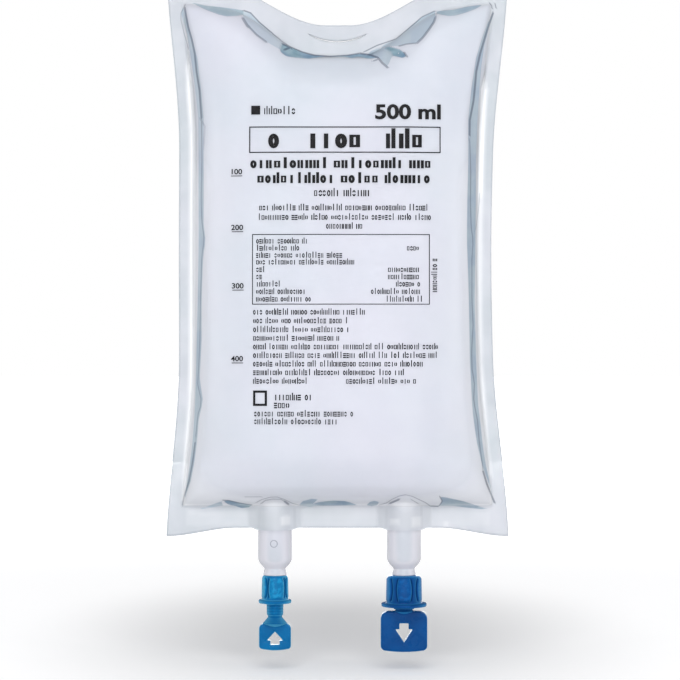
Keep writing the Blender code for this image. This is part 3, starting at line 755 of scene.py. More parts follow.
# Colours as 0-255 display values, in pairs of tints where the material clouds from one to the other
FILM_FACE, FILM_SEAM = [(225, 226, 236), (220, 226, 234)], [(206, 210, 218), (199, 207, 213)]
TUCK_PALE, TUCK_SHADE = [(192, 207, 217), (183, 199, 213)], [(114, 145, 159), (103, 134, 159)]
FILM_HAZE, FILM_RIM, FILM_GLEAM, FILM_LINE = (233, 234, 241), (160, 178, 192), (244, 246, 249), (54, 70, 94)
SALINE = [(226, 227, 238), (221, 227, 236)]
TUBE_MIDDLE, TUBE_FLANK, TUBE_EDGE = [(217, 219, 229), (208, 213, 222)], (227, 227, 235), (186, 184, 200)
MOULD_MARK = [(138, 144, 158), (166, 171, 184)]
RUBBER, INK = [(168, 164, 158), (186, 182, 175)], [(6, 6, 8), (22, 22, 26)]

# Each moulded blue is (name, deep flow, light flow, painted highlight on the grips, painted shade in the
# grooves and hollows, painted highlight on the edges)
BLUES = {
    "injection": ("light blue plastic", (0, 94, 150), (0, 110, 168), (28, 148, 200), (0, 62, 112),
                  (92, 188, 224)),
    "infusion": ("deep blue plastic", (0, 64, 125), (0, 75, 140), (4, 93, 164), (0, 36, 84),
                 (48, 138, 196)),
}


def film_finish():
    """Clear film: pale and glossy, with blue-grey shade painted where it tucks in, a dark line of shade
    painted along each crease, highlights painted where it turns to the light and a faint shade painted along
    its cut edge.
    """
    film = Finish("clear pouch film", IOR=1.38, Coat_Weight=0.06, Coat_Roughness=0.25)
    cloud = film.noise(17.0).ramp(0.36, 0.64)
    haze = film.noise(75.0).ramp(0.3, 0.7, 0.0, 0.35)
    patchy_shade = film.noise(230.0).ramp(0.3, 0.7, 0.72, 1.0)
    shade_hue = film.noise(85.0, 1.0).ramp(0.4, 0.6)
    rim = film.mark("rim").ramp(0.1, 0.9, 0.15, 0.0)
    fold = film.mark("tuck").ramp(-0.1, 0.3)
    gleam, tone = film.mark("gleam"), film.mark("tone")
    colour = film.mix(film.mark("seam"), film.tint(cloud, FILM_FACE), film.tint(cloud, FILM_SEAM))
    colour = film.mix(haze, colour, linear(*FILM_HAZE))
    # Painted shade: a faint dark outline along the film's cut edge
    colour = film.mix(rim, colour, linear(*FILM_RIM))
    # Painted highlight where the sheet turns to the light
    colour = film.mix(gleam, colour, linear(*FILM_GLEAM))
    # Painted shade where the sheet tucks in: pale teal at half tone, blue-grey at full tone, in patches and
    # shifting between two hues
    colour = film.mix(fold * tone.ramp(0.0, 0.5), colour, film.tint(shade_hue, TUCK_PALE))
    colour = film.mix(fold * tone.ramp(0.4, 1.0) * patchy_shade, colour, film.tint(shade_hue, TUCK_SHADE))
    # Painted shade: a dark line along each crease
    line = None
    for count in range(len(CREASE_GROUPS)):
        crease = film.mark(f"crease {count}", "Vector")
        stroke = (1.0 - abs(film.part(crease, "X")).ramp(0.7, 1.8)) * film.part(crease, "Y")
        line = stroke if line is None else line.most(stroke)
    colour = film.mix(line, colour, linear(*FILM_LINE))
    solid = film.mark("seam").ramp(0.0, 1.0, 0.5, 0.8)
    height = film.noise(900.0) * 0.03 + film.noise(40.0)
    return film.drive(
        Base_Color=colour, Alpha=solid.most(fold * tone).most(line).most(gleam),
        Roughness=film.noise(120.0).ramp(0.3, 0.7, 0.34, 0.46),
        Normal=film.bump(height, 0.2 * MM, 0.25),
    )


def saline_finish():
    saline = Finish("saline", IOR=1.33, Roughness=0.15, Transmission_Weight=0.2)
    return saline.drive(Base_Color=saline.tint(saline.noise(22.0).ramp(0.35, 0.65), SALINE))


def tube_finish():
    """Clear tube full of liquid: a highlight painted on its flanks, paler than the middle, and a mauve shade
    painted as its outline where it is seen edge on.
    """
    tube = Finish("clear port tube", IOR=1.42, Coat_Weight=0.25, Coat_Roughness=0.12,
                  Transmission_Weight=0.12)
    facing = tube.facing()
    middle = tube.tint(tube.noise(90.0).ramp(0.35, 0.65), TUBE_MIDDLE)
    # Painted highlight on the tube's flanks
    colour = tube.mix(facing.ramp(0.02, 0.2), middle, linear(*TUBE_FLANK))
    # Painted shade: the mauve outline where the tube is seen edge on
    colour = tube.mix(facing.ramp(0.66, 1.0), colour, linear(*TUBE_EDGE))
    return tube.drive(Base_Color=colour, Roughness=tube.noise(300.0).ramp(0.3, 0.7, 0.16, 0.26),
                      Normal=tube.bump(tube.noise(140.0), 0.05 * MM, 0.15))


def mould_mark_finish():
    mark = Finish("mould mark", IOR=1.42)
    wear = mark.noise(800.0)
    return mark.drive(Base_Color=mark.tint(wear, MOULD_MARK), Roughness=wear.ramp(0.2, 0.8, 0.25, 0.4))


def closure_finish(name, *colours):
    """Moulded blue plastic: satin grain and a slight flow, with a highlight painted on the grips in patches,
    shade painted in the grooves, scored rings and hollows, and a highlight painted where it is seen edge on.
    """
    deep, light, grip_highlight, groove, edge = (linear(*colour) for colour in colours)
    plastic = Finish(name, IOR=1.25, Coat_Weight=0.0, Specular_IOR_Level=0.3)
    shaded = plastic.mark("groove")
    flow = plastic.noise(120.0, 3.0).ramp(0.3, 0.75)
    patchy_highlight = plastic.noise(520.0, 3.0).ramp(0.42, 0.7)
    colour = plastic.mix(flow, deep, light)
    # Painted highlight on the grips, in patches
    colour = plastic.mix(plastic.mark("grip") * patchy_highlight.ramp(0.0, 1.0, 0.25, 0.85), colour, grip_highlight)
    # Painted highlight where the plastic is seen edge on
    colour = plastic.mix(plastic.facing().ramp(0.06, 0.6, 0.0, 0.62), colour, edge)
    # Painted shade in the grooves, the scored rings and the hollows
    colour = plastic.mix(shaded * 0.85, colour, groove)
    grain = plastic.noise(2600.0) + plastic.noise(260.0) * 2.0
    return plastic.drive(Base_Color=colour, Normal=plastic.bump(grain, 0.03 * MM, 0.35),
                         Roughness=plastic.noise(420.0).ramp(0.3, 0.7, 0.24, 0.38) + shaded)


def rubber_finish():
    rubber = Finish("septum rubber", IOR=1.5)
    speck = rubber.noise(1400.0, 3.0)
    return rubber.drive(Base_Color=rubber.tint(speck, RUBBER), Roughness=speck.ramp(0.2, 0.8, 0.6, 0.8),
                        Normal=rubber.bump(speck, 0.03 * MM, 0.4))


def ink_finish():
    ink = Finish("black print", IOR=1.4, Specular_IOR_Level=0.2)
    wear = ink.noise(700.0, 3.0).ramp(0.35, 0.7)
    return ink.drive(Base_Color=ink.tint(wear, INK), Roughness=wear.ramp(0.0, 1.0, 0.35, 0.5))


# Ports and closures

TURN_STEPS, ARC_STEPS = 96, 8
MERGE = 1e-6  # points this near each other, in metres, are one
SIDE_SHARE, ROUND_STEPS = 0.45, 4  # a rounded corner takes at most this share of the sides beside it

# The tube, in millimetres
TUBE_WALL, MOUTH_ROUND, MOULD_ROUND = 1.4, 0.3, 1.7
MOUTH_INNER, MOUTH_OUTER, MOUTH_FOOT = 0.4, 0.6, 0.5  # where the mouth's rounding ends, below its top
TAPER_TOP, TAPER_HEIGHT = FOOT - 13.2, 2.8
NECK_RADIUS, NECK_BORE = 4.2, 2.4
COLLAR_RADIUS, COLLAR_START, COLLAR_STOP = 4.7, 2.4, 0.5  # the collar stands on the cap, a hair above it
SPIGOT_RADIUS, CAP_GAP = 3.7, 0.05
MARK_PLACE, MARK_RADIUS, MARK_HALF = (274.3, 542.5), 1.35, 0.16  # the mould mark, its middle in pixels
MARK_STEPS = 32

# Sizes in millimetres, but turn and reach in degrees; cap, base, stem, pinch and cone are radii
CLOSURES = {
    "injection": dict(slot="light_blue_plastic", cap=5.0, base=5.2, rim=1.3, crown=0.7, cap_height=9.7,
                      flange=1.4, stem=3.4, stem_height=5.3, pinch=2.8, cone=4.9, cone_height=2.7,
                      width=12.7, thick=3.0, shoulder=2.2, corner=1.4, arrow=(6.4, 3.4, 1.7), up=True,
                      grips=4, turn=10.0, reach=42.0, groove=0.42, rings=4),
    "infusion": dict(slot="deep_blue_plastic", cap=6.8, base=7.0, rim=2.0, crown=1.3, cap_height=11.0,
                     flange=1.4, stem=4.2, stem_height=1.3, pinch=3.4, cone=3.9, cone_height=0.5,
                     width=18.5, thick=3.6, shoulder=3.2, corner=2.0, arrow=(6.9, 5.2, 2.3), up=False,
                     grips=5, turn=0.0, reach=28.0, groove=0.3, rings=0),
}
SOCKET_RADIUS, SOCKET_DEPTH = 4.0, 8.2
CORE_RADIUS, CORE_DEPTH = 1.0, 1.5  # the stem's end inside the tab
LIP, STEP, PINCH_HALF = 0.2, 0.3, 0.25
CROWN_SHARE, STEM_TAPER, STEM_END = 0.3, 0.97, 0.15
MOULD_GRAIN, SOFT_SHARE, SOFT_TURNS = 0.17, 0.5, 4
EDGE_ROUND = 0.75
TAB_BULGE, BULGE_REACH = 0.5, 0.8  # a tab's foot hangs lower between its corners
ARROW_DROP, ARROW_SIDE = 0.8, 1.8  # the arrow's middle below the tab's, and half of its shaft

# Grips on the cap and grooves beside them: spans in millimetres, and along half the cap's height
GRIP_WAIST = 9.0  # degrees by which a grip narrows toward its ends
GRIP_RISE, GRIP_EDGE, GRIP_END, GROOVE_HALF = 0.2, (0.15, 0.9), (0.72, 0.9), 0.34
WALL_EDGE, WALL_END = (-0.7, -0.25), (0.9, 0.98)
# Rings scored round the stem, with shade painted in them at the ring tone
RING_START, RING_PITCH, RING_HALF, RING_DEPTH, RING_TONE = 0.9, 1.1, 0.24, 0.1, 0.45
STEM_EDGE, STEM_ROOM = (-0.5, -0.2), 0.3
LEAST_RADIUS = 0.1  # nothing nearer the axis is moved by its share
# Places that lie in shade: where the stem is pinched, the cone under it, and the flange's ledge
PINCH_TONE, PINCH_REACH, PINCH_ROOM = 0.5, 0.5, 0.8
CONE_TONE, CONE_EDGE = 0.34, (-0.4, 0.2)
LEDGE_TONE, LEDGE_EDGE, LEDGE_REACH = 0.6, (0.1, 0.5), 0.4


def turned(name, profile, x):
    """A turned piece about a vertical axis; its (radius, z) profile in millimetres runs down its outside."""
    mesh = bpy.data.meshes.new(name)
    shape = bmesh.new()
    points = [shape.verts.new((radius * MM, 0.0, z * MM)) for radius, z in profile]
    for start, stop in zip(points, points[1:]):
        shape.edges.new((start, stop))
    if profile[0][0] > 0.0:
        shape.edges.new((points[-1], points[0]))
    shape.to_mesh(mesh)
    shape.free()
    item = link(name, mesh)
    item.location = (x * MM, 0.0, 0.0)
    screw = item.modifiers.new("turn", "SCREW")
    screw.steps = screw.render_steps = TURN_STEPS
    screw.use_merge_vertices = True
    screw.merge_threshold = MERGE
    return item


def solid_mesh(item, name):
    """The finished mesh of an object, with its place in the mesh; the object goes."""
    bpy.context.view_layer.update()
    seen = item.evaluated_get(bpy.context.evaluated_depsgraph_get())
    mesh = bpy.data.meshes.new_from_object(seen)
    mesh.transform(item.matrix_world)
    mesh.name = name
    bpy.data.objects.remove(item, do_unlink=True)
    return mesh


def fillet_line(points, radius):
    """A profile with its inner corners rounded."""
    out = [points[0]]
    for before, corner, after in zip(points, points[1:], points[2:]):
        before, corner, after = (np.array(p, dtype=float) for p in (before, corner, after))
        first, second = before - corner, after - corner
        reach = min(radius, np.linalg.norm(first) * SIDE_SHARE, np.linalg.norm(second) * SIDE_SHARE)
        start = corner + first / np.linalg.norm(first) * reach
        stop = corner + second / np.linalg.norm(second) * reach
        for step in range(ROUND_STEPS + 1):
            t = step / ROUND_STEPS
            out.append(tuple((1 - t) ** 2 * start + 2 * t * (1 - t) * corner + t**2 * stop))
    return out + [points[-1]]


def closed_line(curve, points):
    """Adds a closed line of points, given in millimetres, to a curve."""
    spline = curve.splines.new("POLY")
    spline.points.add(len(points) - 1)
    for point, place in zip(spline.points, points):
        point.co = (*(np.array(place) * MM), 1.0)
    spline.use_cyclic_u = True


def build_tube(side, finish):
    """The clear tube, with a soft mouth, a moulded step above its taper and its collar."""
    outer, bore = TUBE_RADIUS, TUBE_RADIUS - TUBE_WALL
    neck_top = TAPER_TOP - TAPER_HEIGHT
    cap_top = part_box(f"{side}_closure")[1][2] / MM
    collar_foot = cap_top + CAP_GAP
    profile = fillet_line([
        (bore + MOUTH_ROUND, TUBE_TOP - MOUTH_INNER), (outer - MOUTH_ROUND, TUBE_TOP),
        (outer, TUBE_TOP - MOUTH_OUTER), (outer, TAPER_TOP), (NECK_RADIUS, neck_top),
        (NECK_RADIUS, cap_top + COLLAR_START),
        (COLLAR_RADIUS, cap_top + COLLAR_STOP), (COLLAR_RADIUS, collar_foot), (SPIGOT_RADIUS, collar_foot),
        (SPIGOT_RADIUS, NECK_END), (NECK_BORE, NECK_END), (NECK_BORE, neck_top), (bore, TAPER_TOP),
        (bore + MOUTH_ROUND, TUBE_TOP - MOUTH_FOOT),
    ], MOULD_ROUND)
    mesh = solid_mesh(turned(f"{side}_tube", profile[:-1], PORT_X[side]), f"{side}_tube")
    return add_piece(f"{side}_tube", mesh, finish, [f"{side}_port_tube"])


def build_mould_mark(finish):
    """The small raised ring that the mould leaves on the injection tube."""
    (x, z), middle = bag_place(*MARK_PLACE), PORT_X["injection"]
    path = []
    for turn in np.linspace(0.0, 2 * math.pi, MARK_STEPS + 1)[:-1]:
        across = (x - middle + MARK_RADIUS * math.cos(turn)) / TUBE_RADIUS
        path.append((middle + TUBE_RADIUS * across, -TUBE_RADIUS * math.sqrt(1.0 - across**2),
                     z + MARK_RADIUS * math.sin(turn)))
    curve = bpy.data.curves.new("mould_mark", "CURVE")
    curve.dimensions = "3D"
    curve.bevel_depth = MARK_HALF * MM
    closed_line(curve, path)
    mesh = solid_mesh(link("mould_mark", curve), "mould_mark")
    return add_piece("mould_mark", mesh, finish)


def arc(cx, cz, radius, start, stop):
    angles = np.radians(np.linspace(start, stop, ARC_STEPS + 1))
    return [(cx + radius * math.cos(a), cz + radius * math.sin(a)) for a in angles]


def tab_outline(size, low, high):
    half, shoulder, corner = size["width"] / 2, size["shoulder"], size["corner"]
    flat = half - corner
    foot = [(flat * s, low - TAB_BULGE * (1 - s * s)) for s in np.linspace(-BULGE_REACH, BULGE_REACH, 9)]
    return (arc(half - shoulder, high - shoulder, shoulder, 0, 90)
            + arc(shoulder - half, high - shoulder, shoulder, 90, 180)
            + arc(-flat, low + corner, corner, 180, 270) + foot
            + arc(flat, low + corner, corner, 270, 360))


def arrow_outline(size, middle):
    width, head, shaft = size["arrow"]
    half, wing, side = (head + shaft) / 2, width / 2, ARROW_SIDE
    points = [(0.0, half), (-wing, half - head), (-side, half - head), (-side, -half), (side, -half),
              (side, half - head), (wing, half - head)]
    facing = 1.0 if size["up"] else -1.0
    return [(x, middle + facing * z) for x, z in points]


def plate(name, outlines, thickness, x):
    """A flat moulding with rounded edges."""
    curve = bpy.data.curves.new(name, "CURVE")
    curve.dimensions = "2D"
    curve.fill_mode = "BOTH"
    curve.extrude = (thickness / 2 - EDGE_ROUND) * MM
    curve.bevel_depth = EDGE_ROUND * MM
    curve.bevel_resolution = 3
    curve.offset = -EDGE_ROUND * MM
    for outline in outlines:
        closed_line(curve, [(across, up, 0.0) for across, up in outline])
    mesh = solid_mesh(link(name, curve), name)
    shape = bmesh.new()
    shape.from_mesh(mesh)
    bmesh.ops.remove_doubles(shape, verts=shape.verts, dist=MERGE)
    shape.transform(Matrix.Translation((x * MM, 0, 0)) @ Matrix.Rotation(math.pi / 2, 4, "X"))
    shape.to_mesh(mesh)
    shape.free()
    return link(name, mesh)


def bell(offset, reach):
    return np.exp(-((offset / reach) ** 2))


def span_ease(start, span, value):
    """Eases over a span that is measured from a start."""
    return ease(start + span[0], start + span[1], value)


def grip_marks(size, around, share, radius):
    """How much each point belongs to a grip, and to the grooves beside the grips."""
    grip, groove = np.zeros(len(radius)), np.zeros(len(radius))
    fade = 1.0 - ease(*GRIP_END, np.abs(share))
    for count in range(size["grips"]):
        middle = size["turn"] - 90.0 + count * 360.0 / size["grips"]
        offset = np.abs((around - middle + 180.0) % 360.0 - 180.0)
        inside = np.radians(size["reach"] - GRIP_WAIST * share**2 - offset) * radius
        groove = np.maximum(groove, bell(inside, GROOVE_HALF) * fade)
        grip = np.maximum(grip, ease(*GRIP_EDGE, inside) * fade)
    return grip, groove


def shaded_places(size, z, radius, cap_foot):
    """How deep in shade each point lies by the pinched stem, on the cone and on the flange's ledge."""
    pinch = cap_foot - size["flange"] - size["stem_height"]
    nip = PINCH_TONE * bell(z - pinch, PINCH_REACH) * (radius < size["pinch"] + PINCH_ROOM)
    cone = CONE_TONE * span_ease(pinch - size["cone_height"], CONE_EDGE, z) * (z < pinch)
    ledge = LEDGE_TONE * span_ease(size["base"], LEDGE_EDGE, radius) * bell(z - cap_foot, LEDGE_REACH)
    return np.maximum.reduce([nip, cone, ledge])


def shape_grips(mesh, size, x, high, cap_foot):
    """Raises leaf-shaped grips round the cap between curved grooves, and scores rings in the stem."""
    places = np.empty(len(mesh.vertices) * 3)
    mesh.vertices.foreach_get("co", places)
    places = places.reshape(-1, 3) / MM
    aside, depth, z = places[:, 0] - x, places[:, 1], places[:, 2]
    radius = np.hypot(aside, depth)
    share = (z - (high + cap_foot) / 2) / ((high - cap_foot) / 2)
    wall = span_ease(size["cap"], WALL_EDGE, radius) * (1.0 - ease(*WALL_END, np.abs(share)))
    grip, groove = grip_marks(size, np.degrees(np.arctan2(depth, aside)), share, radius)
    stem = span_ease(size["stem"], STEM_EDGE, radius) * (radius < size["stem"] + STEM_ROOM)
    score = np.zeros(len(z))
    for ring in range(size["rings"]):
        height = cap_foot - size["flange"] - RING_START - RING_PITCH * ring
        score = np.maximum(score, stem * bell(z - height, RING_HALF))
    rise = wall * (GRIP_RISE * grip - size["groove"] * groove) - RING_DEPTH * score
    radial = 1.0 + rise / np.maximum(radius, LEAST_RADIUS)
    places[:, 0], places[:, 1] = x + aside * radial, depth * radial
    mesh.vertices.foreach_set("co", (places * MM).ravel())
    mesh.update()
    # The finish paints a highlight on the grips, and shade where the groove mark lies: in the grooves, the
    # scored rings and the shaded places
    store(mesh, "grip", grip * wall)
    shade = shaded_places(size, z, radius, cap_foot)
    store(mesh, "groove", np.maximum.reduce([groove * wall, RING_TONE * score, shade]))


def closure_profile(size, high, cap_foot, tab_top):
    """The turned half section of a cap, from its socket down to the core of its tab."""
    cap, base, crown, pinch, stem = (size[part] for part in ("cap", "base", "crown", "pinch", "stem"))
    rim = base + size["rim"]
    flange_foot = cap_foot - size["flange"]
    stem_foot = flange_foot - size["stem_height"]
    socket_foot, core_foot = high - SOCKET_DEPTH, tab_top - CORE_DEPTH
    return [
        (0.0, socket_foot), (SOCKET_RADIUS, socket_foot), (SOCKET_RADIUS, high), (cap - crown, high),
        (cap - crown * CROWN_SHARE, high - crown * CROWN_SHARE), (cap, high - crown),
        (base, cap_foot + LIP), (base + STEP, cap_foot), (rim - LIP, cap_foot), (rim, cap_foot - STEP),
        (rim, flange_foot + STEP), (rim - LIP, flange_foot), (stem, flange_foot),
        (stem * STEM_TAPER, stem_foot + size["stem_height"] * STEM_END), (pinch, stem_foot + STEP),
        (pinch, stem_foot - PINCH_HALF), (size["cone"], tab_top), (CORE_RADIUS, core_foot), (0.0, core_foot),
    ]


def build_closure(side, finish):
    """Cap, flange, stem and tab in one moulding; remeshed fine so that every corner has its small radius."""
    size, x = CLOSURES[side], PORT_X[side]
    low, high = (corner[2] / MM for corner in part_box(f"{side}_closure"))
    cap_foot, tab_foot = high - size["cap_height"], low + TAB_BULGE
    tab_top = cap_foot - size["flange"] - size["stem_height"] - size["cone_height"]
    body = turned(f"{side}_seal", closure_profile(size, high, cap_foot, tab_top), x)
    arrow = arrow_outline(size, (tab_top + tab_foot) / 2 - ARROW_DROP)
    tab = plate(f"{side} tab", [tab_outline(size, tab_foot, tab_top), arrow], size["thick"], x)
    step = body.modifiers.new("tab", "BOOLEAN")
    step.operation = "UNION"
    step.solver = "EXACT"
    step.object = tab
    remesh = body.modifiers.new("mould", "REMESH")
    remesh.mode = "VOXEL"
    remesh.voxel_size = MOULD_GRAIN * MM
    soften = body.modifiers.new("soften", "SMOOTH")
    soften.factor = SOFT_SHARE
    soften.iterations = SOFT_TURNS
    mesh = solid_mesh(body, f"{side}_seal")
    bpy.data.objects.remove(tab, do_unlink=True)
    shape_grips(mesh, size, x, high, cap_foot)
    return add_piece(f"{side}_seal", mesh, finish, [f"{side}_closure"])


# Print

BOLD = 0.2  # strokes heavier than this are too heavy for the finer marks
PITCH = 0.64  # from one mark to the next, for marks one unit tall
MARK_WIDTH, MARK_HEIGHT = 0.54, 0.74
WORD_MARKS, WORD_GAP, MARK_SPREAD, LAST_MARK = (3, 12), 0.42, (0.85, 1.1), 0.8
INK_STEP = 1.2  # a bar follows the film in steps of this many millimetres

# Lines of print in photograph pixels: left, right and middle, the height in millimetres, and its marks
TITLE_WORDS = [(268, 283, 138, 7.9, 1), (307, 363, 138, 7.9, 4), (386, 425, 138, 7.9, 3),
               (250, 439, 162.5, 4.3, 0), (257, 432, 177.5, 4.3, 0)]
BODY_WORDS = [
    (314, 373, 192, 3.3), (259, 430, 207, 2.6), (258, 432, 216.5, 2.6), (326, 363, 225.5, 2.6),
    (256, 310, 240.5, 2.4), (256, 300, 247.5, 2.4), (256, 342, 254.7, 2.4), (256, 355, 261.5, 2.4),
    (256, 266, 269, 2.4), (256, 264, 276.2, 2.4), (256, 284, 283.5, 2.4), (256, 306, 291, 2.4),
    (256, 313, 298.6, 2.4), (407, 422, 247.5, 2.4), (388, 423, 269, 2.4), (388, 423, 276.2, 2.4),
    (396, 421, 283.5, 2.4), (371, 423, 291, 2.4), (386, 423, 298.6, 2.4), (253, 367, 311.5, 2.5),
    (253, 349, 320.2, 2.5), (253, 352, 329, 2.5), (253, 340, 337.6, 2.5), (253, 440, 346.2, 2.5),
    (253, 438, 354.8, 2.5), (253, 425, 363.4, 2.5), (253, 404, 372, 2.5), (253, 309, 380.6, 2.5),
    (346, 417, 380.6, 2.5), (274, 313, 396.5, 3.0), (274, 292, 404.5, 3.0), (254, 356, 413.2, 2.6),
    (254, 340, 421, 2.6),
]
HEAD_WORDS = (264, 296, 109.5, 3.3, 7)
SIDE_COLUMN, SIDE_FOOT, SIDE_TOP, SIDE_HEIGHT = 440.5, 292, 256, 2.4

# Boxes in photograph pixels: left, top, right and foot, and the line's weight in millimetres
TITLE_BOX, TITLE_LINE = (249, 126, 441, 152.5), 0.42
TABLE_BOX, TABLE_LINE = (252, 234, 430, 304.5), 0.3
FOOT_BOX, FOOT_LINE = (253, 390.5, 267, 406), 0.9
HEAD_BLOCK = (251, 105, 260, 114)

# The volume and its scale: right ends in photograph pixels, then sizes in millimetres
VOLUME_PLACE, VOLUME_SIZE, VOLUME_BOLD, VOLUME_STRETCH = (442, 118), 7.9, 0.26, 1.2
SCALE_MARKS = {"100": (242.0, 175.5), "200": (243.0, 231.5), "300": (243.5, 290.0), "400": (243.0, 363.0)}
SCALE_LENGTH, SCALE_HALF, SCALE_RISE = 11.5, 0.14, 0.7  # a mark's length in pixels, then millimetres
SCALE_SIZE, SCALE_BOLD, SCALE_STRETCH = 2.9, 0.06, 1.1


def face_box(left, top, right, foot):
    """Left, right, foot and top, on the bag's face, of a box of photograph pixels."""
    (near, high), (far, low) = face_place(left, top), face_place(right, foot)
    return near, far, low, high


def ink_place(x, z):
    """A place on the front sheet, just proud of it."""
    x, z = np.atleast_1d(np.asarray(x, dtype=float)), np.atleast_1d(np.asarray(z, dtype=float))
    height, _ = lift(x - sway(z), z, 1.0)
    return np.stack([x, -(FILM + height + INK_LIFT), z], axis=-1) * MM


def ribbon(path, weight, closed=False):
    """Points and faces of a flat stroke along a path."""
    spots = np.array(path, dtype=float)
    if closed:
        ahead, behind = np.roll(spots, -1, axis=0), np.roll(spots, 1, axis=0)
    else:
        ahead, behind = np.vstack([spots[1:], spots[-1:]]), np.vstack([spots[:1], spots[:-1]])
    run = ahead - behind
    run /= np.linalg.norm(run, axis=1)[:, None]
    aside = np.stack([-run[:, 1], run[:, 0]], axis=-1) * weight / 2
    count = len(spots)
    points = np.vstack([spots - aside, spots + aside])
    faces = [(i, (i + 1) % count, count + (i + 1) % count, count + i)
             for i in range(count if closed else count - 1)]
    return points, faces


def stroke_shapes(weight):
    """Plain marks of print, one unit tall at most: bars, pairs of bars, rings, split rings and rungs."""
    w, wide, tall = weight / 2, MARK_WIDTH, MARK_HEIGHT
    near, far, middle = w, wide - w, wide / 2

    def bow(start, stop, count=7):
        return [(middle + (middle - w) * math.cos(math.radians(turn)),
                 tall / 2 + (tall / 2 - w) * math.sin(math.radians(turn)))
                for turn in np.linspace(start, stop, count)]

    def post(x, top):
        return [(x, 0.0), (x, top)]

    shapes = []
    square = [(near, w), (far, w), (far, tall - w), (near, tall - w)]
    choices = [
        ("ring", [bow(0, 360, 17)[:-1]], True), ("square", [square], True),
        ("step", [post(near, tall), post(far, 1.0)], False),
        ("pair", [post(near, tall), post(far, tall)], False),
        ("bar", [post(middle, tall)], False), ("tall bar", [post(middle, 1.0)], False),
    ]
    if weight < BOLD:
        choices += [
            ("lids", [bow(18, 162), bow(198, 342)], False), ("sides", [bow(118, 242), bow(-62, 62)], False),
            ("rungs", [[(0.0, z), (wide, z)] for z in (w, tall / 2, tall - w)], False),
        ]
    for name, strokes, closed in choices:
        points, faces = [], []
        for path in strokes:
            spots, quads = ribbon(path, weight, closed)
            faces.extend(tuple(len(points) + corner for corner in quad) for quad in quads)
            points.extend(spots)
        mesh = bpy.data.meshes.new(name)
        mesh.from_pydata([(x, y, 0.0) for x, y in points], [], faces)
        shapes.append(link(name, mesh))
    return shapes


def stroke_tree(shapes):
    """Sets one of the shapes, at random, on each point of a line of print."""
    tree = bpy.data.node_groups.new("print strokes", "GeometryNodeTree")
    for name, way, kind in (
        ("Geometry", "INPUT", "Geometry"), ("Mark height", "INPUT", "Float"), ("Turn", "INPUT", "Vector"),
        ("Seed", "INPUT", "Int"), ("Ink", "INPUT", "Material"), ("Geometry", "OUTPUT", "Geometry"),
    ):
        tree.interface.new_socket(name, in_out=way, socket_type=f"NodeSocket{kind}")
    built = NodeTree(tree)

    def given(name):
        return built.node("NodeGroupInput", None, None, name)

    choices = built.node("GeometryNodeJoinGeometry")
    for shape in shapes:
        info = built.node("GeometryNodeObjectInfo", None, {"Object": shape, "As Instance": True}, "Geometry")
        tree.links.new(info.socket, choices.socket.node.inputs[0])
    chance = built.node("FunctionNodeRandomValue", {"data_type": "INT"},
                        {4: 0, 5: len(shapes) - 1, 8: given("Seed")}, 2)
    wide = built.node("GeometryNodeInputNamedAttribute", {"data_type": "FLOAT"}, {"Name": "wide"})
    across = built.node("ShaderNodeMath", {"operation": "MULTIPLY"}, {0: wide, 1: given("Mark height")})
    size = built.node("ShaderNodeCombineXYZ", None, {0: across, 1: given("Mark height"), 2: 1.0})
    strokes = built.node("GeometryNodeInstanceOnPoints", None, {
        "Points": given("Geometry"), "Instance": choices, "Pick Instance": True, "Instance Index": chance,
        "Rotation": given("Turn"), "Scale": size,
    })
    real = built.node("GeometryNodeRealizeInstances", None, {0: strokes})
    inked = built.node("GeometryNodeSetMaterial", None, {"Geometry": real, "Material": given("Ink")})
    built.node("NodeGroupOutput", None, {0: inked}, None)
    return tree


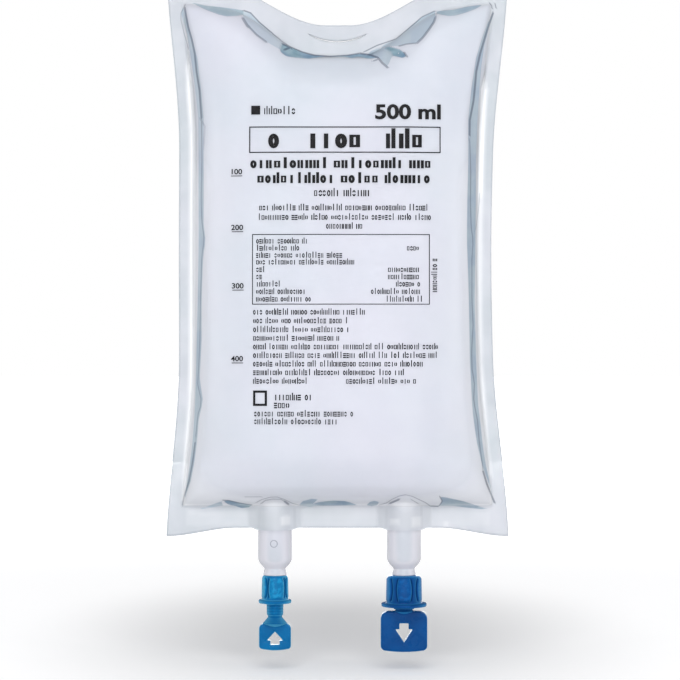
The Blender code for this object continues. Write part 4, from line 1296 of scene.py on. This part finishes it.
class Print:
    """Strokes, bars and lines of ink, gathered into one mesh that lies on the front sheet."""

    def __init__(self, ink, weight, stretch):
        self.ink, self.weight, self.stretch = ink, weight, stretch
        self.points, self.faces = [], []
        self.lines = {}

    def add(self, points, faces):
        start = len(self.points)
        points = np.asarray(points, dtype=float)
        self.points.extend(ink_place(points[:, 0], points[:, 1]))
        self.faces.extend(tuple(start + corner for corner in face) for face in faces)

    def bar(self, left, right, low, high):
        across = np.linspace(left, right, max(1, math.ceil((right - left) / INK_STEP)) + 1)
        up = np.linspace(low, high, max(1, math.ceil((high - low) / INK_STEP)) + 1)
        gx, gz = np.meshgrid(across, up)
        wide = len(across)
        self.add(np.stack([gx.ravel(), gz.ravel()], axis=-1), [
            (corner, corner + 1, corner + wide + 1, corner + wide)
            for row in range(len(up) - 1) for corner in range(row * wide, (row + 1) * wide - 1)
        ])

    def frame(self, left, right, low, high, line):
        self.bar(left, right, high - line, high)
        self.bar(left, right, low, low + line)
        self.bar(left, left + line, low + line, high - line)
        self.bar(right - line, right, low + line, high - line)

    def words(self, left, right, middle, height, seed, upright=False, marks=0):
        """A line of print: words of a few marks each, or one word of so many marks."""
        chance = np.random.default_rng(seed)
        turn = math.pi / 2 if upright else 0.0
        line = self.lines.setdefault((height, turn), [])
        pitch = (right - left) / marks if marks else height * PITCH * self.stretch
        low = middle - height / 2
        place, count = left, marks or int(chance.integers(*WORD_MARKS))
        while place + pitch * LAST_MARK < right:
            wide = chance.uniform(*MARK_SPREAD) * pitch / (height * PITCH)
            line.append((-low - height, place, wide) if upright else (place, low, wide))
            place += pitch
            count -= 1
            if count == 0:
                place += height * WORD_GAP
                count = int(chance.integers(*WORD_MARKS))

    def row(self, start, stop, row, height, seed, marks=0):
        """A line of print across the bag's face, between two columns of photograph pixels."""
        left, right, middle, _ = face_box(start, row, stop, row)
        self.words(left, right, middle, height, seed, marks=marks)

    def set_marks(self):
        shapes = stroke_shapes(self.weight)
        tree = stroke_tree(shapes)
        inputs = {item.name: item.identifier for item in tree.interface.items_tree if item.in_out == "INPUT"}
        for seed, ((height, turn), line) in enumerate(self.lines.items()):
            mesh = bpy.data.meshes.new("line of print")
            mesh.from_pydata([(x, z, 0.0) for x, z, _ in line], [], [])
            store(mesh, "wide", [wide for _, _, wide in line])
            item = link("line of print", mesh)
            step = item.modifiers.new("print strokes", "NODES")
            step.node_group = tree
            step[inputs["Mark height"]] = height
            step[inputs["Turn"]] = (0.0, 0.0, turn)
            step[inputs["Seed"]] = seed
            step[inputs["Ink"]] = self.ink
            set_out = solid_mesh(item, "line of print")
            self.add([vertex.co.xy for vertex in set_out.vertices],
                     [tuple(face.vertices) for face in set_out.polygons])
        for shape in shapes:
            bpy.data.objects.remove(shape, do_unlink=True)

    def piece(self, name):
        self.set_marks()
        return add_piece(name, set_mesh(name, self.points, self.faces), self.ink)


def figures(name, text, size, places, finish, bold, stretch):
    """Plain figures on the front sheet: each place is the (right edge, foot) of one word."""
    shape = bmesh.new()
    for word, (right, foot) in zip(text, places):
        curve = bpy.data.curves.new(word, "FONT")
        curve.body = word
        curve.size = size
        curve.offset = bold
        curve.align_x = "RIGHT"
        curve.resolution_u = 4
        mesh = solid_mesh(link(word, curve), word)
        start = len(shape.verts)
        shape.from_mesh(mesh)
        shape.verts.ensure_lookup_table()
        fresh = shape.verts[start:]
        spots = ink_place([right + v.co.x * stretch for v in fresh], [foot + v.co.y for v in fresh])
        for vertex, spot in zip(fresh, spots):
            vertex.co = Vector(spot)
    bmesh.ops.remove_doubles(shape, verts=shape.verts, dist=MERGE)
    mesh = bpy.data.meshes.new(name)
    shape.to_mesh(mesh)
    shape.free()
    return add_piece(name, mesh, finish)


def build_print(ink):
    title = Print(ink, weight=0.235, stretch=1.12)
    title.frame(*face_box(*TITLE_BOX), TITLE_LINE)
    for start, stop, row, height, marks in TITLE_WORDS:
        title.row(start, stop, row, height, int(start + row), marks)
    title.piece("print_title")

    body = Print(ink, weight=0.17, stretch=0.8)
    for start, stop, row, height in BODY_WORDS:
        body.row(start, stop, row, height, int(7 * start + row))
    (column, low), (_, high) = face_place(SIDE_COLUMN, SIDE_FOOT), face_place(SIDE_COLUMN, SIDE_TOP)
    body.words(low, high, -column, SIDE_HEIGHT, seed=5, upright=True)
    body.frame(*face_box(*TABLE_BOX), TABLE_LINE)
    body.frame(*face_box(*FOOT_BOX), FOOT_LINE)
    body.bar(*face_box(*HEAD_BLOCK))
    start, stop, row, height, marks = HEAD_WORDS
    body.row(start, stop, row, height, seed=3, marks=marks)
    body.piece("print_body")

    scale = Print(ink, weight=0.17, stretch=1.0)
    for column, row in SCALE_MARKS.values():
        left, right, z, _ = face_box(column - SCALE_LENGTH, row, column, row)
        scale.bar(left, right, z - SCALE_HALF, z + SCALE_HALF)
    scale.piece("print_scale_marks")
    places = [(x, z + SCALE_RISE) for x, z in (face_place(*mark) for mark in SCALE_MARKS.values())]
    figures("print_scale_figures", list(SCALE_MARKS), SCALE_SIZE, places, ink, SCALE_BOLD, SCALE_STRETCH)
    figures("print_volume", ["500 ml"], VOLUME_SIZE, [face_place(*VOLUME_PLACE)], ink, VOLUME_BOLD,
            VOLUME_STRETCH)


# The studio

SENSOR = 36.0
AMBIENT, SKY_COLOUR = 0.4, (0.97, 0.975, 1.0, 1.0)
FLOOR_WHITE, FLOOR_GLOW, FLOOR_HALF = 0.95, 0.3, 8.0
FAR_GLOW, FAR_SPAN = 0.64, (0.5, 1.4)  # far from the bag the floor glows to white
POOL_MIDDLE, POOL_STRETCH = 0.12, 2.0  # the soft pool of shade behind the bag's foot
POOL_SHADE, POOL_SPAN = 0.26, (0.04, 0.16)
LAMP_AIM = (0.0, 0.0, -0.1)

# Each lamp is (name, place, size, power), in metres and watts
LAMPS = [
    ("key", (0.0, -2.3, 1.6), (1.6, 1.7), 29.0),
    ("top", (0.0, -0.8, 2.6), (1.8, 1.4), 5.0),
    ("front", (0.0, -1.7, -0.06), (1.2, 0.34), 6.8),
    ("back", (0.0, 1.7, 0.0), (0.9, 0.7), 14.0),
    ("left strip", (-0.75, -0.75, -0.1), (0.1, 0.7), 0.9),
    ("right strip", (0.75, -0.7, -0.1), (0.1, 0.7), 1.3),
]


def build_camera():
    camera = bpy.data.cameras.new("camera")
    camera.sensor_width = SENSOR
    camera.lens = SENSOR * CAMERA_DISTANCE / PHOTO_SPAN
    camera.clip_start, camera.clip_end = 0.01, 50.0
    item = link("camera", camera)
    item.location = (PHOTO_MIDDLE[0], -CAMERA_DISTANCE, PHOTO_MIDDLE[1])
    item.rotation_euler = (math.pi / 2, 0.0, 0.0)
    bpy.context.scene.camera = item


def floor_finish():
    """Matt white; rays that show the background see it glow to white, most of all far from the bag, and less
    in a painted pool of shadow behind the bag's foot.
    """
    white = (FLOOR_WHITE, FLOOR_WHITE, FLOOR_WHITE, 1.0)
    floor = Finish("white floor", Base_Color=white, Roughness=0.9, Specular_IOR_Level=0.0)
    away = floor.node("ShaderNodeVectorMath", {"operation": "LENGTH"}, {0: floor.place()}, "Value")
    spot = floor.node("ShaderNodeVectorMath", {"operation": "MULTIPLY_ADD"}, {
        0: floor.place(), 1: (1.0, 1.0 / POOL_STRETCH, 0.0), 2: (0.0, -POOL_MIDDLE / POOL_STRETCH, 0.0)})
    pool = floor.node("ShaderNodeVectorMath", {"operation": "LENGTH"}, {0: spot}, "Value")
    # A painted shadow: the glow drops in a pool behind the bag's foot
    strength = (away.ramp(*FAR_SPAN, 0.0, FAR_GLOW)
                + pool.ramp(*POOL_SPAN, FLOOR_GLOW - POOL_SHADE, FLOOR_GLOW))
    glow = floor.node("ShaderNodeEmission", None, {"Strength": strength})
    matt = Signal(floor, floor.shader.outputs[0])
    lit = floor.node("ShaderNodeAddShader", None, {0: matt, 1: glow})
    seen = floor.node("ShaderNodeMixShader", None, {0: floor.background_rays(), 1: matt, 2: lit})
    floor.plug(floor.tree.nodes["Material Output"].inputs["Surface"], seen)
    return floor.material


def build_floor():
    mesh = bpy.data.meshes.new("floor")
    shape = bmesh.new()
    bmesh.ops.create_grid(shape, x_segments=1, y_segments=1, size=FLOOR_HALF)
    shape.transform(Matrix.Translation((0.0, 0.0, FLOOR_Z)))
    shape.to_mesh(mesh)
    shape.free()
    mesh.materials.append(floor_finish())
    link("floor", mesh)


def build_world():
    world = bpy.data.worlds.new("studio")
    bpy.context.scene.world = world
    world.use_nodes = True
    sky = NodeTree(world.node_tree)
    soft = sky.node("ShaderNodeBackground", None, {"Color": SKY_COLOUR, "Strength": AMBIENT})
    white = sky.node("ShaderNodeBackground", None, {"Color": (1.0, 1.0, 1.0, 1.0), "Strength": 1.0})
    seen = sky.node("ShaderNodeMixShader", None, {0: sky.background_rays(), 1: soft, 2: white})
    sky.plug(sky.tree.nodes["World Output"].inputs["Surface"], seen)


def add_lamp(name, place, size, power):
    lamp = bpy.data.lights.new(name, "AREA")
    lamp.shape = "RECTANGLE"
    lamp.size, lamp.size_y = size
    lamp.energy = power
    item = link(name, lamp)
    item.location = place
    item.rotation_euler = (Vector(LAMP_AIM) - Vector(place)).to_track_quat("-Z", "Y").to_euler()


def build_studio():
    build_camera()
    build_world()
    build_floor()
    for lamp in LAMPS:
        add_lamp(*lamp)
    bpy.context.scene.view_settings.view_transform = "Standard"


build_studio()
build_film(film_finish())
build_fill(saline_finish())
clear, rubber = tube_finish(), rubber_finish()
for port, blue in BLUES.items():
    build_tube(port, clear)
    build_closure(port, closure_finish(*blue))
    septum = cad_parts[f"{port}_septum"].data
    septum.materials.clear()
    septum.materials.append(rubber)
build_mould_mark(mould_mark_finish())
build_print(ink_finish())
